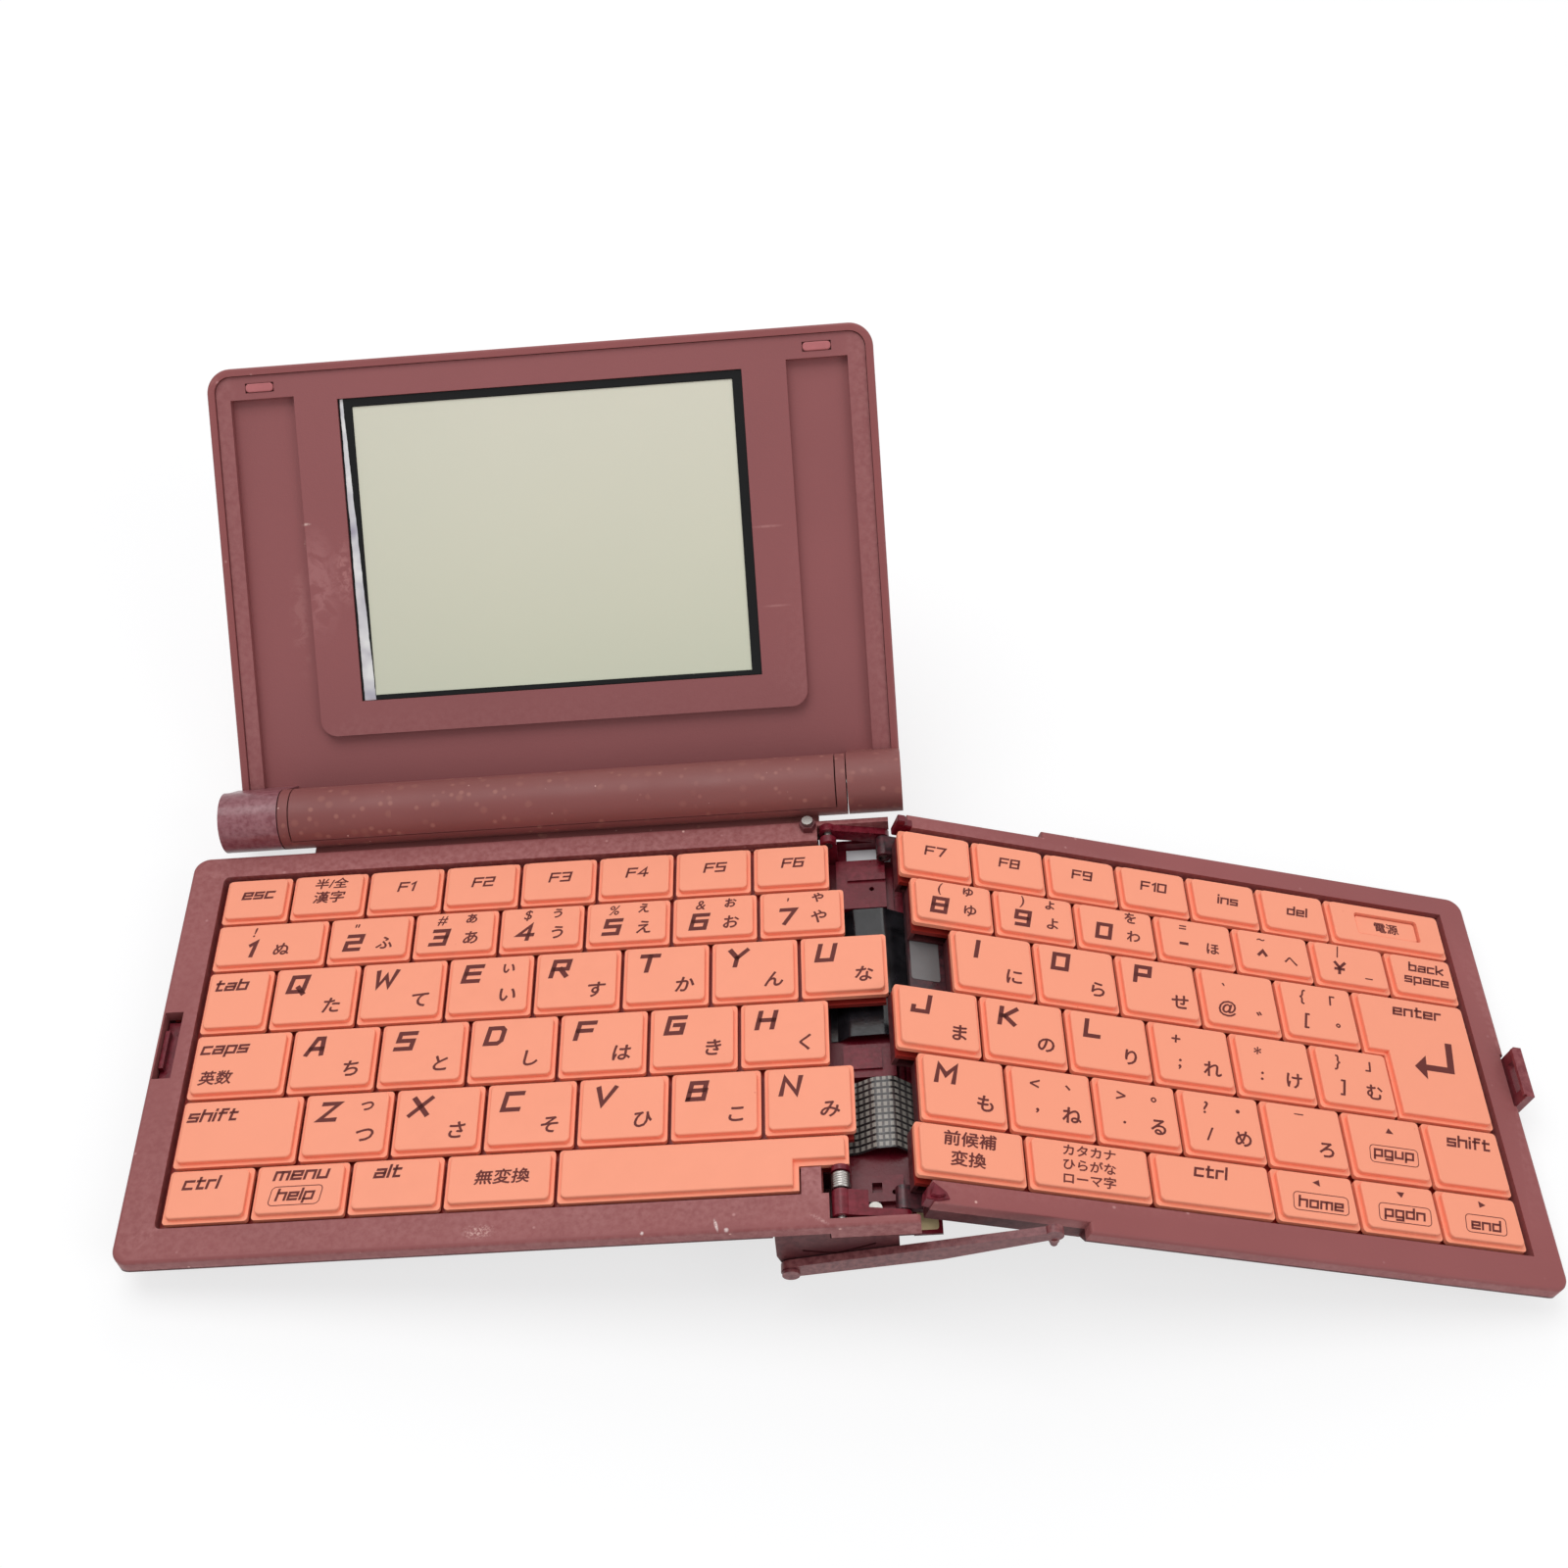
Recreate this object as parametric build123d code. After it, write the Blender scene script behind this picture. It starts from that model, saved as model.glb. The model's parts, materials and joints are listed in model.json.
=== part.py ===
from build123d import *
import math
import os

# Pocket electronic word processor: two keyboard halves that fold together on a
# two-axis hinge, and a screen lid that turns on a battery barrel behind the left half.
#
# Each half is modelled lying flat in its own frame: X to the right, Y towards the
# barrel, Z up, with Z = 0 on the tops of the keys and Y = 0 at the front edge of the
# front key row. The halves are then set at the open, slightly over-spread angle that
# the device stands in, resting on its outer feet.

# ---------------------------------------------------------------- keys
key_gap = 2.0                # between the tops of neighbouring keys
key_skirt_gap = 0.7          # between the flanges of neighbouring keys
key_shoulder = 1.1           # height of the raised top above its flange
key_flange_drop = 2.1        # underside of the flange below the key tops
key_travel = 1.1
key_stem = 2.4               # square stem
key_stem_drop = 4.4          # underside of the stem below the key tops
stem_clearance = 0.12
key_top_radius = 1.0
key_flange_radius = 0.7
key_edge_round = 0.3
deep_row = 14.6              # pitch of the letter rows
shallow_row = 11.4           # pitch of the function, digit and space rows
letter_pitch = 17.05
function_pitch = 15.5

# Left ends of the key cells, row by row from the front, and each row's later borders.
left_keys_start = -118.0
left_row_6 = [left_keys_start, -101.8, -84.3, -67.0, -46.7, 6.0]
left_row_5 = [left_keys_start] + [-94.8 + letter_pitch * i for i in range(7)]
left_row_4 = [left_keys_start] + [-99.1 + letter_pitch * i for i in range(7)]
left_row_3 = [left_keys_start] + [-104.6 + letter_pitch * i for i in range(8)]
left_row_2 = [left_keys_start] + [-95.3 + letter_pitch * i for i in range(7)]
left_row_1 = [left_keys_start] + [-104.2 + function_pitch * i for i in range(8)]
right_keys_end = 138.0
right_row_6 = [17.6, 38.7, 62.7, 86.7, 103.8, 120.6, right_keys_end]
right_row_5 = [19.2 + 17.0 * i for i in range(7)] + [right_keys_end]
right_row_4 = [15.4 + 17.0 * i for i in range(7)] + [right_keys_end]
right_row_3 = [27.5 + letter_pitch * i for i in range(6)] + [right_keys_end]
right_row_2 = [20.2 + letter_pitch * i for i in range(7)] + [right_keys_end]
right_row_1 = [18.2 + function_pitch * i for i in range(7)] + [right_keys_end]
space_notch_width = 9.3      # corner of the space bar cut away for the hinge spring
space_notch_depth = 5.2
enter_step = 3.9             # lower part of the enter key is this much narrower
power_well_side = 6.2        # rim left and right of the recessed power button
power_well_end = 2.0         # rim in front of and behind it
power_sink = 0.5             # button top below the key tops

# ---------------------------------------------------------------- keyboard halves
rim_top = -0.9
press_gap = 0.1              # left under a fully pressed key
plate_thickness = 0.7        # key support plate
membrane_thickness = 0.3
rim_bottom = -(key_flange_drop + key_travel + press_gap + membrane_thickness)
side_height = 0.5            # upright part of the bottom shell under the parting line
shell_wall = 1.5
corner_radius = 3.2
well_margin = 0.9            # frame edge outside the outer key cells
frame_front = -8.0
left_end = -125.8
left_rear = 83.2
lip_end = 17.7               # ends of the thin walls that guard the hinge bay
rear_bar_end = 16.3
lip_start = 1.9
lip_thickness = 1.5
lip_drop = 5.2
left_depth = 11.8            # underside of the left shell below the key tops
left_shell_end = 12.6
right_end = 144.8
right_rear = 82.8
right_depth = 10.5
narrow_start = 20.7          # thin inner part of the right half
narrow_front = -5.8
narrow_rear = 81.1
wide_start = 49.6
narrow_depth = 6.6
narrow_skin = 0.6
edge_round = 0.7

foot_length = 12.0
foot_width = 6.0
foot_height = 0.4
foot_inset = 1.0             # from the edge of the flat underside
board_thickness = 1.2
board_height = 1.9           # boards stand this far above the inside of the floor
boss_radius = 2.4
screw_radius = 0.9
screw_head_radius = 1.9
screw_head_height = 0.9
screw_slot_length = 2.4
screw_slot_width = 0.4
screw_slot_depth = 0.45
screw_inset = 8.0            # from the edge of the flat underside
screw_rows = (12.0, 66.0)
left_inner_screw = -22.0
right_inner_screw = 9.0      # from the start of the wide part
left_inner_foot = -20.0
right_inner_foot = 4.0       # from the start of the wide part
foot_corner = 1.5
chip_size = (11.0, 10.0)
chip_front = 34.0
chip_thickness = 1.2
beyond = 9.0                 # reach of a cutting shape past what it cuts
far = 99.0                   # reach of a cutting shape past the whole device

# ---------------------------------------------------------------- latch
latch_front = 30.6
latch_length = 14.4
latch_slot_width = 3.6
latch_slot_start = -125.2
hook_width = 1.7
hook_rise = 2.6              # hook tip above the key tops
hook_travel = 0.6
hook_landing = 1.4           # hook's middle from the outer side of the slot, folded
hook_clearance = 0.3
hook_inset = 1.5             # from the ends of the latch
hook_depth = 6.4             # foot of the hook below the key tops
hook_bridge = 0.8
hook_tip = 0.5
latch_end_gap = 0.3
catch_drop = 2.3
slot_drop = 4.4              # floor of the latch slot
catch_base = 0.8

# ---------------------------------------------------------------- folding hinge
axis_1_x = 4.0               # first fold axis, in the left half
axis_1_drop = 2.03
axis_2_x = 17.8              # second fold axis, in the right half
axis_2_drop = 8.3
face_gap = 0.8               # between facing key tops when folded
link_rest_angle = -12.0      # hinge links against the left half, in degrees
spread_angle = 20.1          # right half beyond flat, in degrees
hinge_pin_radius = 0.9
pin_clearance = 0.05
link_thickness = 1.6
link_plate_width = 5.0       # front link beside the spring
link_plate_reach = 4.6       # how far that wide part goes along the link
link_end_radius = 1.7
knuckle_radius = 1.4
link_front = -5.9            # front face of the front link
link_rear = 81.7             # rear face of the rear link
knuckle_length = 4.6
carriage_thickness = 1.2
carriage_end = 38.0
carriage_start = 21.2
carriage_front = 5.3
carriage_rear = 71.5
carriage_gap = 0.3
carriage_arm_width = 4.0
rail_start = 33.0
rail_wall = 1.0
rail_lip = 2.0
spring_turns_length = 3.2
spring_radius = 1.75
spring_wire = 0.42
spring_turns = 5
spring_gap = 0.4             # between the spring and the front link
spring_leg = 4.2

post_x = 0.1                 # stop post on the rear rim beside the hinge bay
post_inset = 1.8
post_radius = 1.7
post_base_height = 1.5
post_tip_radius = 1.1
post_tip_height = 0.8

chassis_floor = -9.4         # floor of the hinge bay
chassis_start = 2.2
chassis_end = 16.4
chassis_wall = 1.2
chassis_top = -6.6
chassis_rear_wall = 0.8
chassis_step = 0.3           # front of the chassis floor stands higher by this much
rivet_x = 9.8
rivet_y = -2.6
rivet_radius = 0.9
rivet_height = 2.0
rivet_head_radius = 1.25
rivet_head_height = 0.7
chassis_rear_top = -6.2
chassis_blocks = [(25.4, 32.6), (64.6, 76.6), (-0.6, 4.6)]
chassis_ridges = [((7.4, 15.0), (71.2, 74.6)), ((6.6, 12.4), (27.0, 31.6))]
chassis_window = ((9.4, 11.2), (1.2, 3.2))
chassis_holes = [(13.4, 1.2), (12.2, 69.2)]
chassis_hole_radius = 0.5
hole_depth = 1.4
shelf_end = 21.5             # thin shelf of the chassis under the gap between the halves
shelf_thickness = 0.5
ridge_height = 0.5
front_ear_start = 2.95
front_ear_thickness = 1.0
rear_ear_gap = 0.15          # between the rear key row and the rear ear
rear_ear_thickness = 1.6
spring_room_reach = 3.2      # clear room around the first fold axis beside the left keys

striped_span = (9.6, 24.6)   # front and rear edges of the striped flat cable
striped_thickness = 0.3
wide_flex_span = (44.0, 64.2)
narrow_flex_span = (34.4, 42.6)
flex_thickness = 0.25
cable_lift = 0.03            # between a cable and the shelf under it
cable_bend = 0.42            # bend radius as a share of the shorter neighbouring run
label_x = (7.4, 16.2)
label_y = (77.0, 80.4)
label_thickness = 0.1

housing_left = -8.0          # block under the hinge bay that carries the front arm
housing_right = 13.7
housing_low_x = -5.0
housing_depth = 16.0
housing_right_depth = 9.4
housing_back = 4.0
housing_rim_drop = 10.8
housing_groove = 0.6         # depth of the groove in its front face
groove_outline = [(-3.5, -9.6), (2.5, -11.2), (9.5, -8.2), (9.5, -7.6), (2.5, -10.5), (-3.5, -8.9)]

arm_pivot_x = -5.9
arm_pivot_drop = 13.6
arm_gap = 0.3                # between the arm and the front faces
arm_thickness = 1.5
arm_knee_x = 21.0
arm_knee_drop = 9.6
arm_tip_x = 40.6
arm_tip_drop = 5.4
arm_knob_radius = 1.7
arm_end_half = 1.8           # half heights of the arm at its pivot, knee and tip
arm_knee_half = 2.2
arm_tip_half = 1.2
arm_pin_head = 0.6
arm_pin_head_radius = 1.6
end_pin_radius = 1.0
end_pin_collar = 1.2
end_pin_tip_radius = 0.7
end_pin_tip = 1.3

# ---------------------------------------------------------------- barrel and lid
barrel_radius = 6.2
barrel_gap = 0.6             # between the barrel and the rear of the left half
barrel_rise = 1.8            # barrel axis above the key tops
barrel_left = -119.6
barrel_cap_end = -107.5
barrel_right_seam = 8.6
barrel_end = 19.5
barrel_wall = 0.75
barrel_seam = 0.25
end_disc = 2.0
lid_open_angle = 135.1
lid_pin_radius = 1.2
lid_pin_reach = 7.5
cover_from = 22.0            # arc of the battery cover, in degrees from straight back
cover_to = 178.0
cell_radius = 5.2
cell_length = 44.5
cell_nub = 0.9
cell_nub_radius = 1.8
contact_radius = 4.2
contact_thickness = 0.4

lid_left = -119.0
lid_right = 19.5
lid_top = 93.5
lid_foot = -2.0
lid_screen_plane = 10.6      # screen face behind the barrel axis
lid_rim_rise = 1.0           # rim in front of the screen face
lid_back = 15.6              # outer face behind the barrel axis
lid_wall = 1.6
lid_corner = 5.0
lid_edge = 1.6
lid_floor_sink = 1.4         # recessed floor around the screen panel
panel_left = -101.0
panel_right = 1.4
panel_foot = 16.0
panel_corner = 3.4
recess_left = -114.3
recess_right = 14.1
recess_top = 87.0
border_left = -92.0          # black screen border
border_right = -7.8
border_foot = 23.0
border_top = 85.8
screen_left = -89.2          # lit area
screen_right = -9.8
screen_foot = 24.0
screen_top = 84.1
screen_sink = 0.5
pad_length = 6.0
pad_width = 2.0
pad_height = 0.3
pad_corner = 0.8
pad_edge = 0.3
pad_seat_depth = 0.4
lid_panel_rise = 0.4         # top band and screen panel in front of the screen plane
lid_inner_thickness = 1.2
border_sink = 0.2
panel_thickness = 1.0
pad_left = -111.0
pad_right = 4.9
pad_foot = 88.3
neck_top = 6.0

# ---------------------------------------------------------------- derived places
plate_top = rim_bottom
plate_bottom = plate_top - plate_thickness
row_starts = [-key_gap / 2]
for row_pitch in (shallow_row, deep_row, deep_row, deep_row, shallow_row, shallow_row):
    row_starts.append(row_starts[-1] + row_pitch)
well_front = row_starts[0] - well_margin / 2
well_rear = row_starts[-1] + well_margin
link_length = axis_1_drop + axis_2_drop + face_gap
barrel_y = left_rear + barrel_gap + barrel_radius
left_rows = [left_row_6, left_row_5, left_row_4, left_row_3, left_row_2, left_row_1]
right_rows = [right_row_6, right_row_5, right_row_4, right_row_3, right_row_2, right_row_1]


def block(x, y, z):
    """Box between the given pairs of coordinates."""
    size = (x[1] - x[0], y[1] - y[0], z[1] - z[0])
    return Pos(x[0], y[0], z[0]) * Box(*size, align=(Align.MIN, Align.MIN, Align.MIN))


def plate(x, y, z, radius):
    """Box with its four upright edges rounded."""
    solid = block(x, y, z)
    return fillet(solid.edges().filter_by(Axis.Z), radius)


def rod_y(x, z, radius, y):
    """Cylinder along Y."""
    shape = Cylinder(radius, y[1] - y[0], align=(Align.CENTER, Align.CENTER, Align.MIN))
    return Pos(x, y[0], z) * Rot(X=-90) * shape


def rod_x(y, z, radius, x):
    """Cylinder along X."""
    shape = Cylinder(radius, x[1] - x[0], align=(Align.CENTER, Align.CENTER, Align.MIN))
    return Pos(x[0], y, z) * Rot(Y=90) * shape


def prism_y(points, y):
    """Solid with the given outline in X and Z, between two values of Y."""
    face = make_face(Polyline(*[(px, y[0], pz) for px, pz in points], close=True))
    return extrude(face, amount=y[1] - y[0], dir=(0, 1, 0))


def prism_x(points, x):
    """Solid with the given outline in Y and Z, between two values of X."""
    face = make_face(Polyline(*[(x[0], py, pz) for py, pz in points], close=True))
    return extrude(face, amount=x[1] - x[0], dir=(1, 0, 0))


def join(solids):
    """All the solids of a list as one shape."""
    result = solids[0]
    for solid in solids[1:]:
        result = result + solid
    return result


# ---------------------------------------------------------------- keys
def cell(row, column, rows):
    """X and Y limits of one key cell."""
    borders = rows[row]
    return (borders[column], borders[column + 1]), (row_starts[row], row_starts[row + 1])


def shrink(limits, gap):
    return (limits[0] + gap / 2, limits[1] - gap / 2)


def soften(top):
    """Slightly rounded upper edges of a key top."""
    return fillet(top.faces().sort_by(Axis.Z)[-1].edges(), key_edge_round)


def stem_places(x, y):
    """Centres of a key's stems: one, or two on a wide key."""
    middle = (y[0] + y[1]) / 2
    width = x[1] - x[0]
    if width < 1.8 * (y[1] - y[0]) or (x, y) == power_cell():
        return [((x[0] + x[1]) / 2, middle)]
    return [(x[0] + width / 4, middle), (x[1] - width / 4, middle)]


def stem(x, y, size, z):
    half = size / 2
    return block((x - half, x + half), (y - half, y + half), z)


def key_cap(x, y, notch=None, step=None):
    """Key with a raised top on a wider flange, and its stems."""
    top = plate(shrink(x, key_gap), shrink(y, key_gap), (-key_shoulder, 0), key_top_radius)
    flange_x = shrink(x, key_skirt_gap)
    flange_y = shrink(y, key_skirt_gap)
    flange = plate(flange_x, flange_y, (-key_flange_drop, -key_shoulder), key_flange_radius)
    stems = stem_places(x, y)
    if notch:
        corner = block((x[1] - notch[0], x[1] + 1), (y[0] - 1, y[0] + notch[1]), (-beyond, beyond))
        inner = block((x[1] - notch[0] - 1, x[1] + 1), (y[0] - 1, y[0] + notch[1] + 1), (-beyond, beyond))
        top = top - inner
        flange = flange - corner
        stems = [(px, py + notch[1] / 2) for px, py in stems]
    if step:
        corner = block((x[0] - 1, x[0] + step[0]), (y[0] - 1, y[0] + step[1]), (-beyond, beyond))
        inner = block((x[0] - 1, x[0] + step[0] + 0.6), (y[0] - 1, y[0] + step[1] + 0.6), (-beyond, beyond))
        top = top - inner
        flange = flange - corner
    solid = soften(top) + flange
    for px, py in stems:
        solid = solid + stem(px, py, key_stem, (-key_stem_drop, -key_flange_drop))
    return solid


def key_group(rows, row, columns):
    """Separate keys of one row."""
    caps = []
    for column in columns:
        x, y = cell(row, column, rows)
        caps.append(key_cap(x, y))
    return caps


def space_bar():
    x, y = cell(0, 4, left_rows)
    return key_cap(x, y, notch=(space_notch_width, space_notch_depth))


def enter_cell():
    x = (right_row_3[5], right_keys_end)
    return x, (row_starts[2], row_starts[4])


def enter_key():
    x, y = enter_cell()
    lower_start = right_row_4[6] - right_row_3[5]
    return key_cap(x, y, step=(lower_start, deep_row))


def power_cell():
    return cell(5, 6, right_rows)


def power_surround():
    """Fixed key-like surround of the recessed power button."""
    x, y = power_cell()
    shape = plate(shrink(x, key_gap), shrink(y, key_gap), (-key_flange_drop, 0), key_top_radius)
    flange = plate(shrink(x, key_skirt_gap), shrink(y, key_skirt_gap),
                   (plate_top + membrane_thickness, -key_shoulder), key_flange_radius)
    well_x = (x[0] + power_well_side, x[1] - power_well_side)
    well_y = (y[0] + key_gap / 2 + power_well_end, y[1] - key_gap / 2 - power_well_end)
    return soften(shape) + flange - plate(well_x, well_y, (-beyond, beyond), key_flange_radius)


def power_button():
    x, y = power_cell()
    gap = key_skirt_gap / 2
    x = (x[0] + power_well_side + gap, x[1] - power_well_side - gap)
    y = (y[0] + key_gap / 2 + power_well_end + gap, y[1] - key_gap / 2 - power_well_end - gap)
    top = plate(x, y, (-key_flange_drop, -power_sink), key_flange_radius)
    px, py = (x[0] + x[1]) / 2, (y[0] + y[1]) / 2
    return soften(top) + stem(px, py, key_stem, (-key_stem_drop, -key_flange_drop))


def all_stem_holes(cells, notch_cell=None):
    """Cutters for the stems of every key."""
    cutters = []
    for x, y in cells:
        for px, py in stem_places(x, y):
            if (x, y) == notch_cell:
                py = py + space_notch_depth / 2
            cutters.append(stem(px, py, key_stem + 2 * stem_clearance, (-beyond, beyond)))
    return cutters


def left_cells():
    return [cell(row, column, left_rows)
            for row in range(6) for column in range(len(left_rows[row]) - 1)]


def right_cells():
    cells = []
    for row in range(6):
        for column in range(len(right_rows[row]) - 1):
            last = column == len(right_rows[row]) - 2
            if not (last and row in (2, 3)):
                cells.append(cell(row, column, right_rows))
    return cells + [enter_cell()]


# ---------------------------------------------------------------- left half
def stepped_sheet(starts, ends, z):
    """Sheet that follows the stepped edge of the key rows."""
    strips = []
    for row in range(6):
        strips.append(block((starts[row], ends[row]), (row_starts[row], row_starts[row + 1]), z))
    return join(strips)


def left_sheet(z, edge):
    starts = [left_keys_start - edge] * 6
    ends = [row[-1] - well_margin for row in left_rows]
    return stepped_sheet(starts, ends, z)


def left_key_plate():
    """Salmon plate that guides the key stems."""
    shape = left_sheet((plate_bottom, plate_top), well_margin)
    border = block((left_end + shell_wall + 0.2, left_keys_start),
                   (frame_front + shell_wall + 0.2, left_rear - shell_wall - 0.2),
                   (plate_bottom, plate_top))
    front = block((left_keys_start - 1, lip_start - 5.0),
                  (frame_front + shell_wall + 0.2, row_starts[0]), (plate_bottom, plate_top))
    rear = block((left_keys_start - 1, lip_start - 5.0),
                 (row_starts[-1], left_rear - shell_wall - 0.2), (plate_bottom, plate_top))
    shape = shape + border + front + rear - latch_slot_cutter()
    return shape - hinge_spring_room() - Compound(all_stem_holes(left_cells(), cell(0, 4, left_rows)))


def hinge_spring_room():
    """Room around the hinge spring, its pin and its ears."""
    x = (axis_1_x - spring_room_reach, axis_1_x + 4)
    front = block(x, (link_front - 1, 4.6), (-8, 2))
    rear = block(x, (row_starts[-1] - 0.2, link_rear + 0.1), (-8, 2))
    return front + rear


def left_membrane():
    """Rubber sheet on the key plate."""
    shape = left_sheet((plate_top, plate_top + membrane_thickness), 0)
    return shape - hinge_spring_room() - Compound(all_stem_holes(left_cells(), cell(0, 4, left_rows)))


def latch_slot_cutter():
    return block((latch_slot_start, latch_slot_start + latch_slot_width),
                 (latch_front - latch_end_gap, latch_front + latch_length + latch_end_gap), (-slot_drop, 1))


def left_upper_frame():
    """Rim around the left keys, with thin walls past the hinge bay."""
    outline = block((left_end, lip_end), (frame_front, left_rear), (rim_bottom, rim_top))
    corners = outline.edges().filter_by(Axis.Z).group_by(Axis.X)[0]
    outline = fillet(corners, corner_radius)
    outline = fillet(outline.faces().sort_by(Axis.Z)[-1].edges(), edge_round)
    outline = outline + block((lip_start, lip_end), (frame_front, frame_front + lip_thickness),
                              (-lip_drop, rim_bottom))
    well = plate((left_keys_start - well_margin, lip_end + beyond), (well_front, well_rear),
                 (-beyond, beyond), 1.2)
    bay = block((lip_start, lip_end + beyond),
                (frame_front + lip_thickness, left_rear - lip_thickness), (-beyond, beyond))
    bar_cut = block((rear_bar_end, lip_end + beyond), (left_rear - beyond, left_rear + beyond),
                    (-beyond, beyond))
    return outline - well - bay - bar_cut - latch_slot_cutter() + notch_filler()


def notch_filler():
    """Frame corner that fills the cut-away corner of the space bar, up to the hinge spring."""
    gap = key_skirt_gap / 2
    x = (left_row_6[-1] - space_notch_width + gap, axis_1_x - spring_room_reach - gap / 2)
    y = (well_front - 0.1, row_starts[0] + space_notch_depth - gap)
    return block(x, y, (plate_top + membrane_thickness, rim_top))


def tub(x, y, z, outer_side):
    """Belly whose front, rear and outer side slope inwards below an upright edge."""
    drop = z[1] - z[0] - side_height
    left_cut = drop if outer_side == "left" else 0.0
    right_cut = drop if outer_side == "right" else 0.0
    knee = z[1] - side_height
    along = prism_y([(x[0], z[1]), (x[0], knee), (x[0] + left_cut, z[0]),
                     (x[1] - right_cut, z[0]), (x[1], knee), (x[1], z[1])], y)
    across = prism_x([(y[0], z[1]), (y[0], knee), (y[0] + drop, z[0]),
                      (y[1] - drop, z[0]), (y[1], knee), (y[1], z[1])], x)
    return along & across


def belly(x, y, depth, outer_side):
    """Outer body of a bottom shell and the hollow inside it."""
    outer = tub(x, y, (-depth, rim_bottom), outer_side)
    corners = plate((x[0] - 2 * corner_radius, x[1]), y, (-depth - 1, rim_bottom), corner_radius)
    if outer_side == "left":
        corners = plate((x[0], x[1] + 2 * corner_radius), y, (-depth - 1, rim_bottom), corner_radius)
    inset = shell_wall
    inner = tub((x[0] + inset, x[1] - inset), (y[0] + inset, y[1] - inset),
                (-depth + inset, rim_bottom), outer_side)
    return outer & corners, inner


def boss(x, y, floor, top):
    post = Cylinder(boss_radius, top - floor, align=(Align.CENTER, Align.CENTER, Align.MIN))
    return Pos(x, y, floor) * post


def screw_hole(x, y, depth):
    shank = Cylinder(screw_radius + pin_clearance, 12, align=(Align.CENTER, Align.CENTER, Align.MIN))
    head = Cylinder(screw_head_radius + 0.1, screw_head_height,
                    align=(Align.CENTER, Align.CENTER, Align.MIN))
    return Pos(x, y, -depth) * shank + Pos(x, y, -depth) * head


def screw(x, y, depth):
    """Screw seated from below, with a cross recess in its head."""
    length = shell_wall + board_height - 0.6
    shank = Cylinder(screw_radius, length, align=(Align.CENTER, Align.CENTER, Align.MIN))
    head = Cylinder(screw_head_radius, screw_head_height - 0.1,
                    align=(Align.CENTER, Align.CENTER, Align.MIN))
    solid = Pos(x, y, -depth + 0.1) * (shank + head)
    long, thin = screw_slot_length / 2, screw_slot_width / 2
    z = (-depth, -depth + screw_slot_depth)
    slot = block((x - long, x + long), (y - thin, y + thin), z)
    cross = block((x - thin, x + thin), (y - long, y + long), z)
    return solid - slot - cross


def left_screw_places():
    slope = slope_inset(left_depth) + screw_inset
    return [(px, py) for px in (left_end + slope, left_inner_screw) for py in screw_rows]


def right_screw_places():
    slope = slope_inset(right_depth) + screw_inset
    return [(px, py) for px in (wide_start + right_inner_screw, right_end - slope) for py in screw_rows]


def left_bottom_shell():
    """Belly of the left half; the hinge bay opens at its right end."""
    x = (left_end, left_shell_end)
    y = (frame_front, left_rear)
    outer, inner = belly(x, y, left_depth, "left")
    guard = block((housing_left - shell_wall - 0.3, far), (-far, housing_back + shell_wall + 0.3),
                  (-far, far))
    shell = outer - (inner - guard - bay_floor_guard())
    shell = shell - block((housing_left - 0.3, far), (-far, housing_back + 0.3), (-far, far))
    plate_room = block((left_end + shell_wall, far), (frame_front + shell_wall, left_rear - shell_wall),
                       (plate_bottom, far))
    shell = shell - bay_room() - plate_room
    floor = -left_depth + shell_wall
    for px, py in left_screw_places():
        shell = shell + boss(px, py, floor, floor + board_height)
    for px, py in left_screw_places():
        shell = shell - screw_hole(px, py, left_depth)
    return shell - latch_slot_cutter()


def bay_floor_guard():
    """Solid wall left standing beside the hinge bay."""
    return block((chassis_start - 0.2 - shell_wall, far), (-far, far), (-far, far))


def bay_room():
    return block((chassis_start - 0.2, far), (-far, left_rear - lip_thickness), (chassis_floor - 0.1, far))


def feet(xs, rear, depth):
    """Rubber feet in the corners of a flat underside."""
    pads = []
    inset = slope_inset(depth) + foot_inset
    for px in xs:
        for py in (frame_front + inset, rear - inset - foot_length):
            pad = plate((px, px + foot_width), (py, py + foot_length),
                        (-depth - foot_height, -depth), foot_corner)
            pads.append(pad)
    return pads


def slope_inset(depth):
    return depth + rim_bottom - side_height


def left_foot_start():
    return left_end + slope_inset(left_depth) + foot_inset


def right_foot_start():
    return right_end - slope_inset(right_depth) - foot_inset - foot_width


def left_feet():
    return feet((left_foot_start(), left_inner_foot), left_rear, left_depth)


def right_feet():
    return feet((wide_start + right_inner_foot, right_foot_start()), right_rear, right_depth)


def board(x, y, depth, places):
    """Circuit board with a few parts, resting on the shell's bosses."""
    low = -depth + shell_wall + board_height
    shape = block(x, y, (low, low + board_thickness))
    for px, py in places:
        hole = Cylinder(screw_radius + 0.3, beyond)
        shape = shape - Pos(px, py, low) * hole
    parts_x = (x[0] * 0.6 + x[1] * 0.4, x[0] * 0.3 + x[1] * 0.7)
    for px in parts_x:
        chip = block((px, px + chip_size[0]), (chip_front, chip_front + chip_size[1]),
                     (low - chip_thickness, low))
        shape = shape + chip
    return shape


def left_board():
    inset = slope_inset(left_depth) + 2.0
    x = (left_end + inset, chassis_start - shell_wall - 1.0)
    shape = board(x, (6.4, left_rear - inset), left_depth, left_screw_places())
    return shape


def right_board():
    inset = slope_inset(right_depth) + 2.0
    x = (wide_start + shell_wall + 0.4, right_end - inset)
    return board(x, (frame_front + inset, right_rear - inset), right_depth, right_screw_places())


# ---------------------------------------------------------------- hinge bay
def hinge_ears(x, z, y):
    """Ear around a fold axis."""
    ring = rod_y(x, z, link_end_radius, y)
    web = block((x - link_end_radius, x + link_end_radius), y,
                (chassis_floor + chassis_wall - 0.1, z))
    return ring + web


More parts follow.
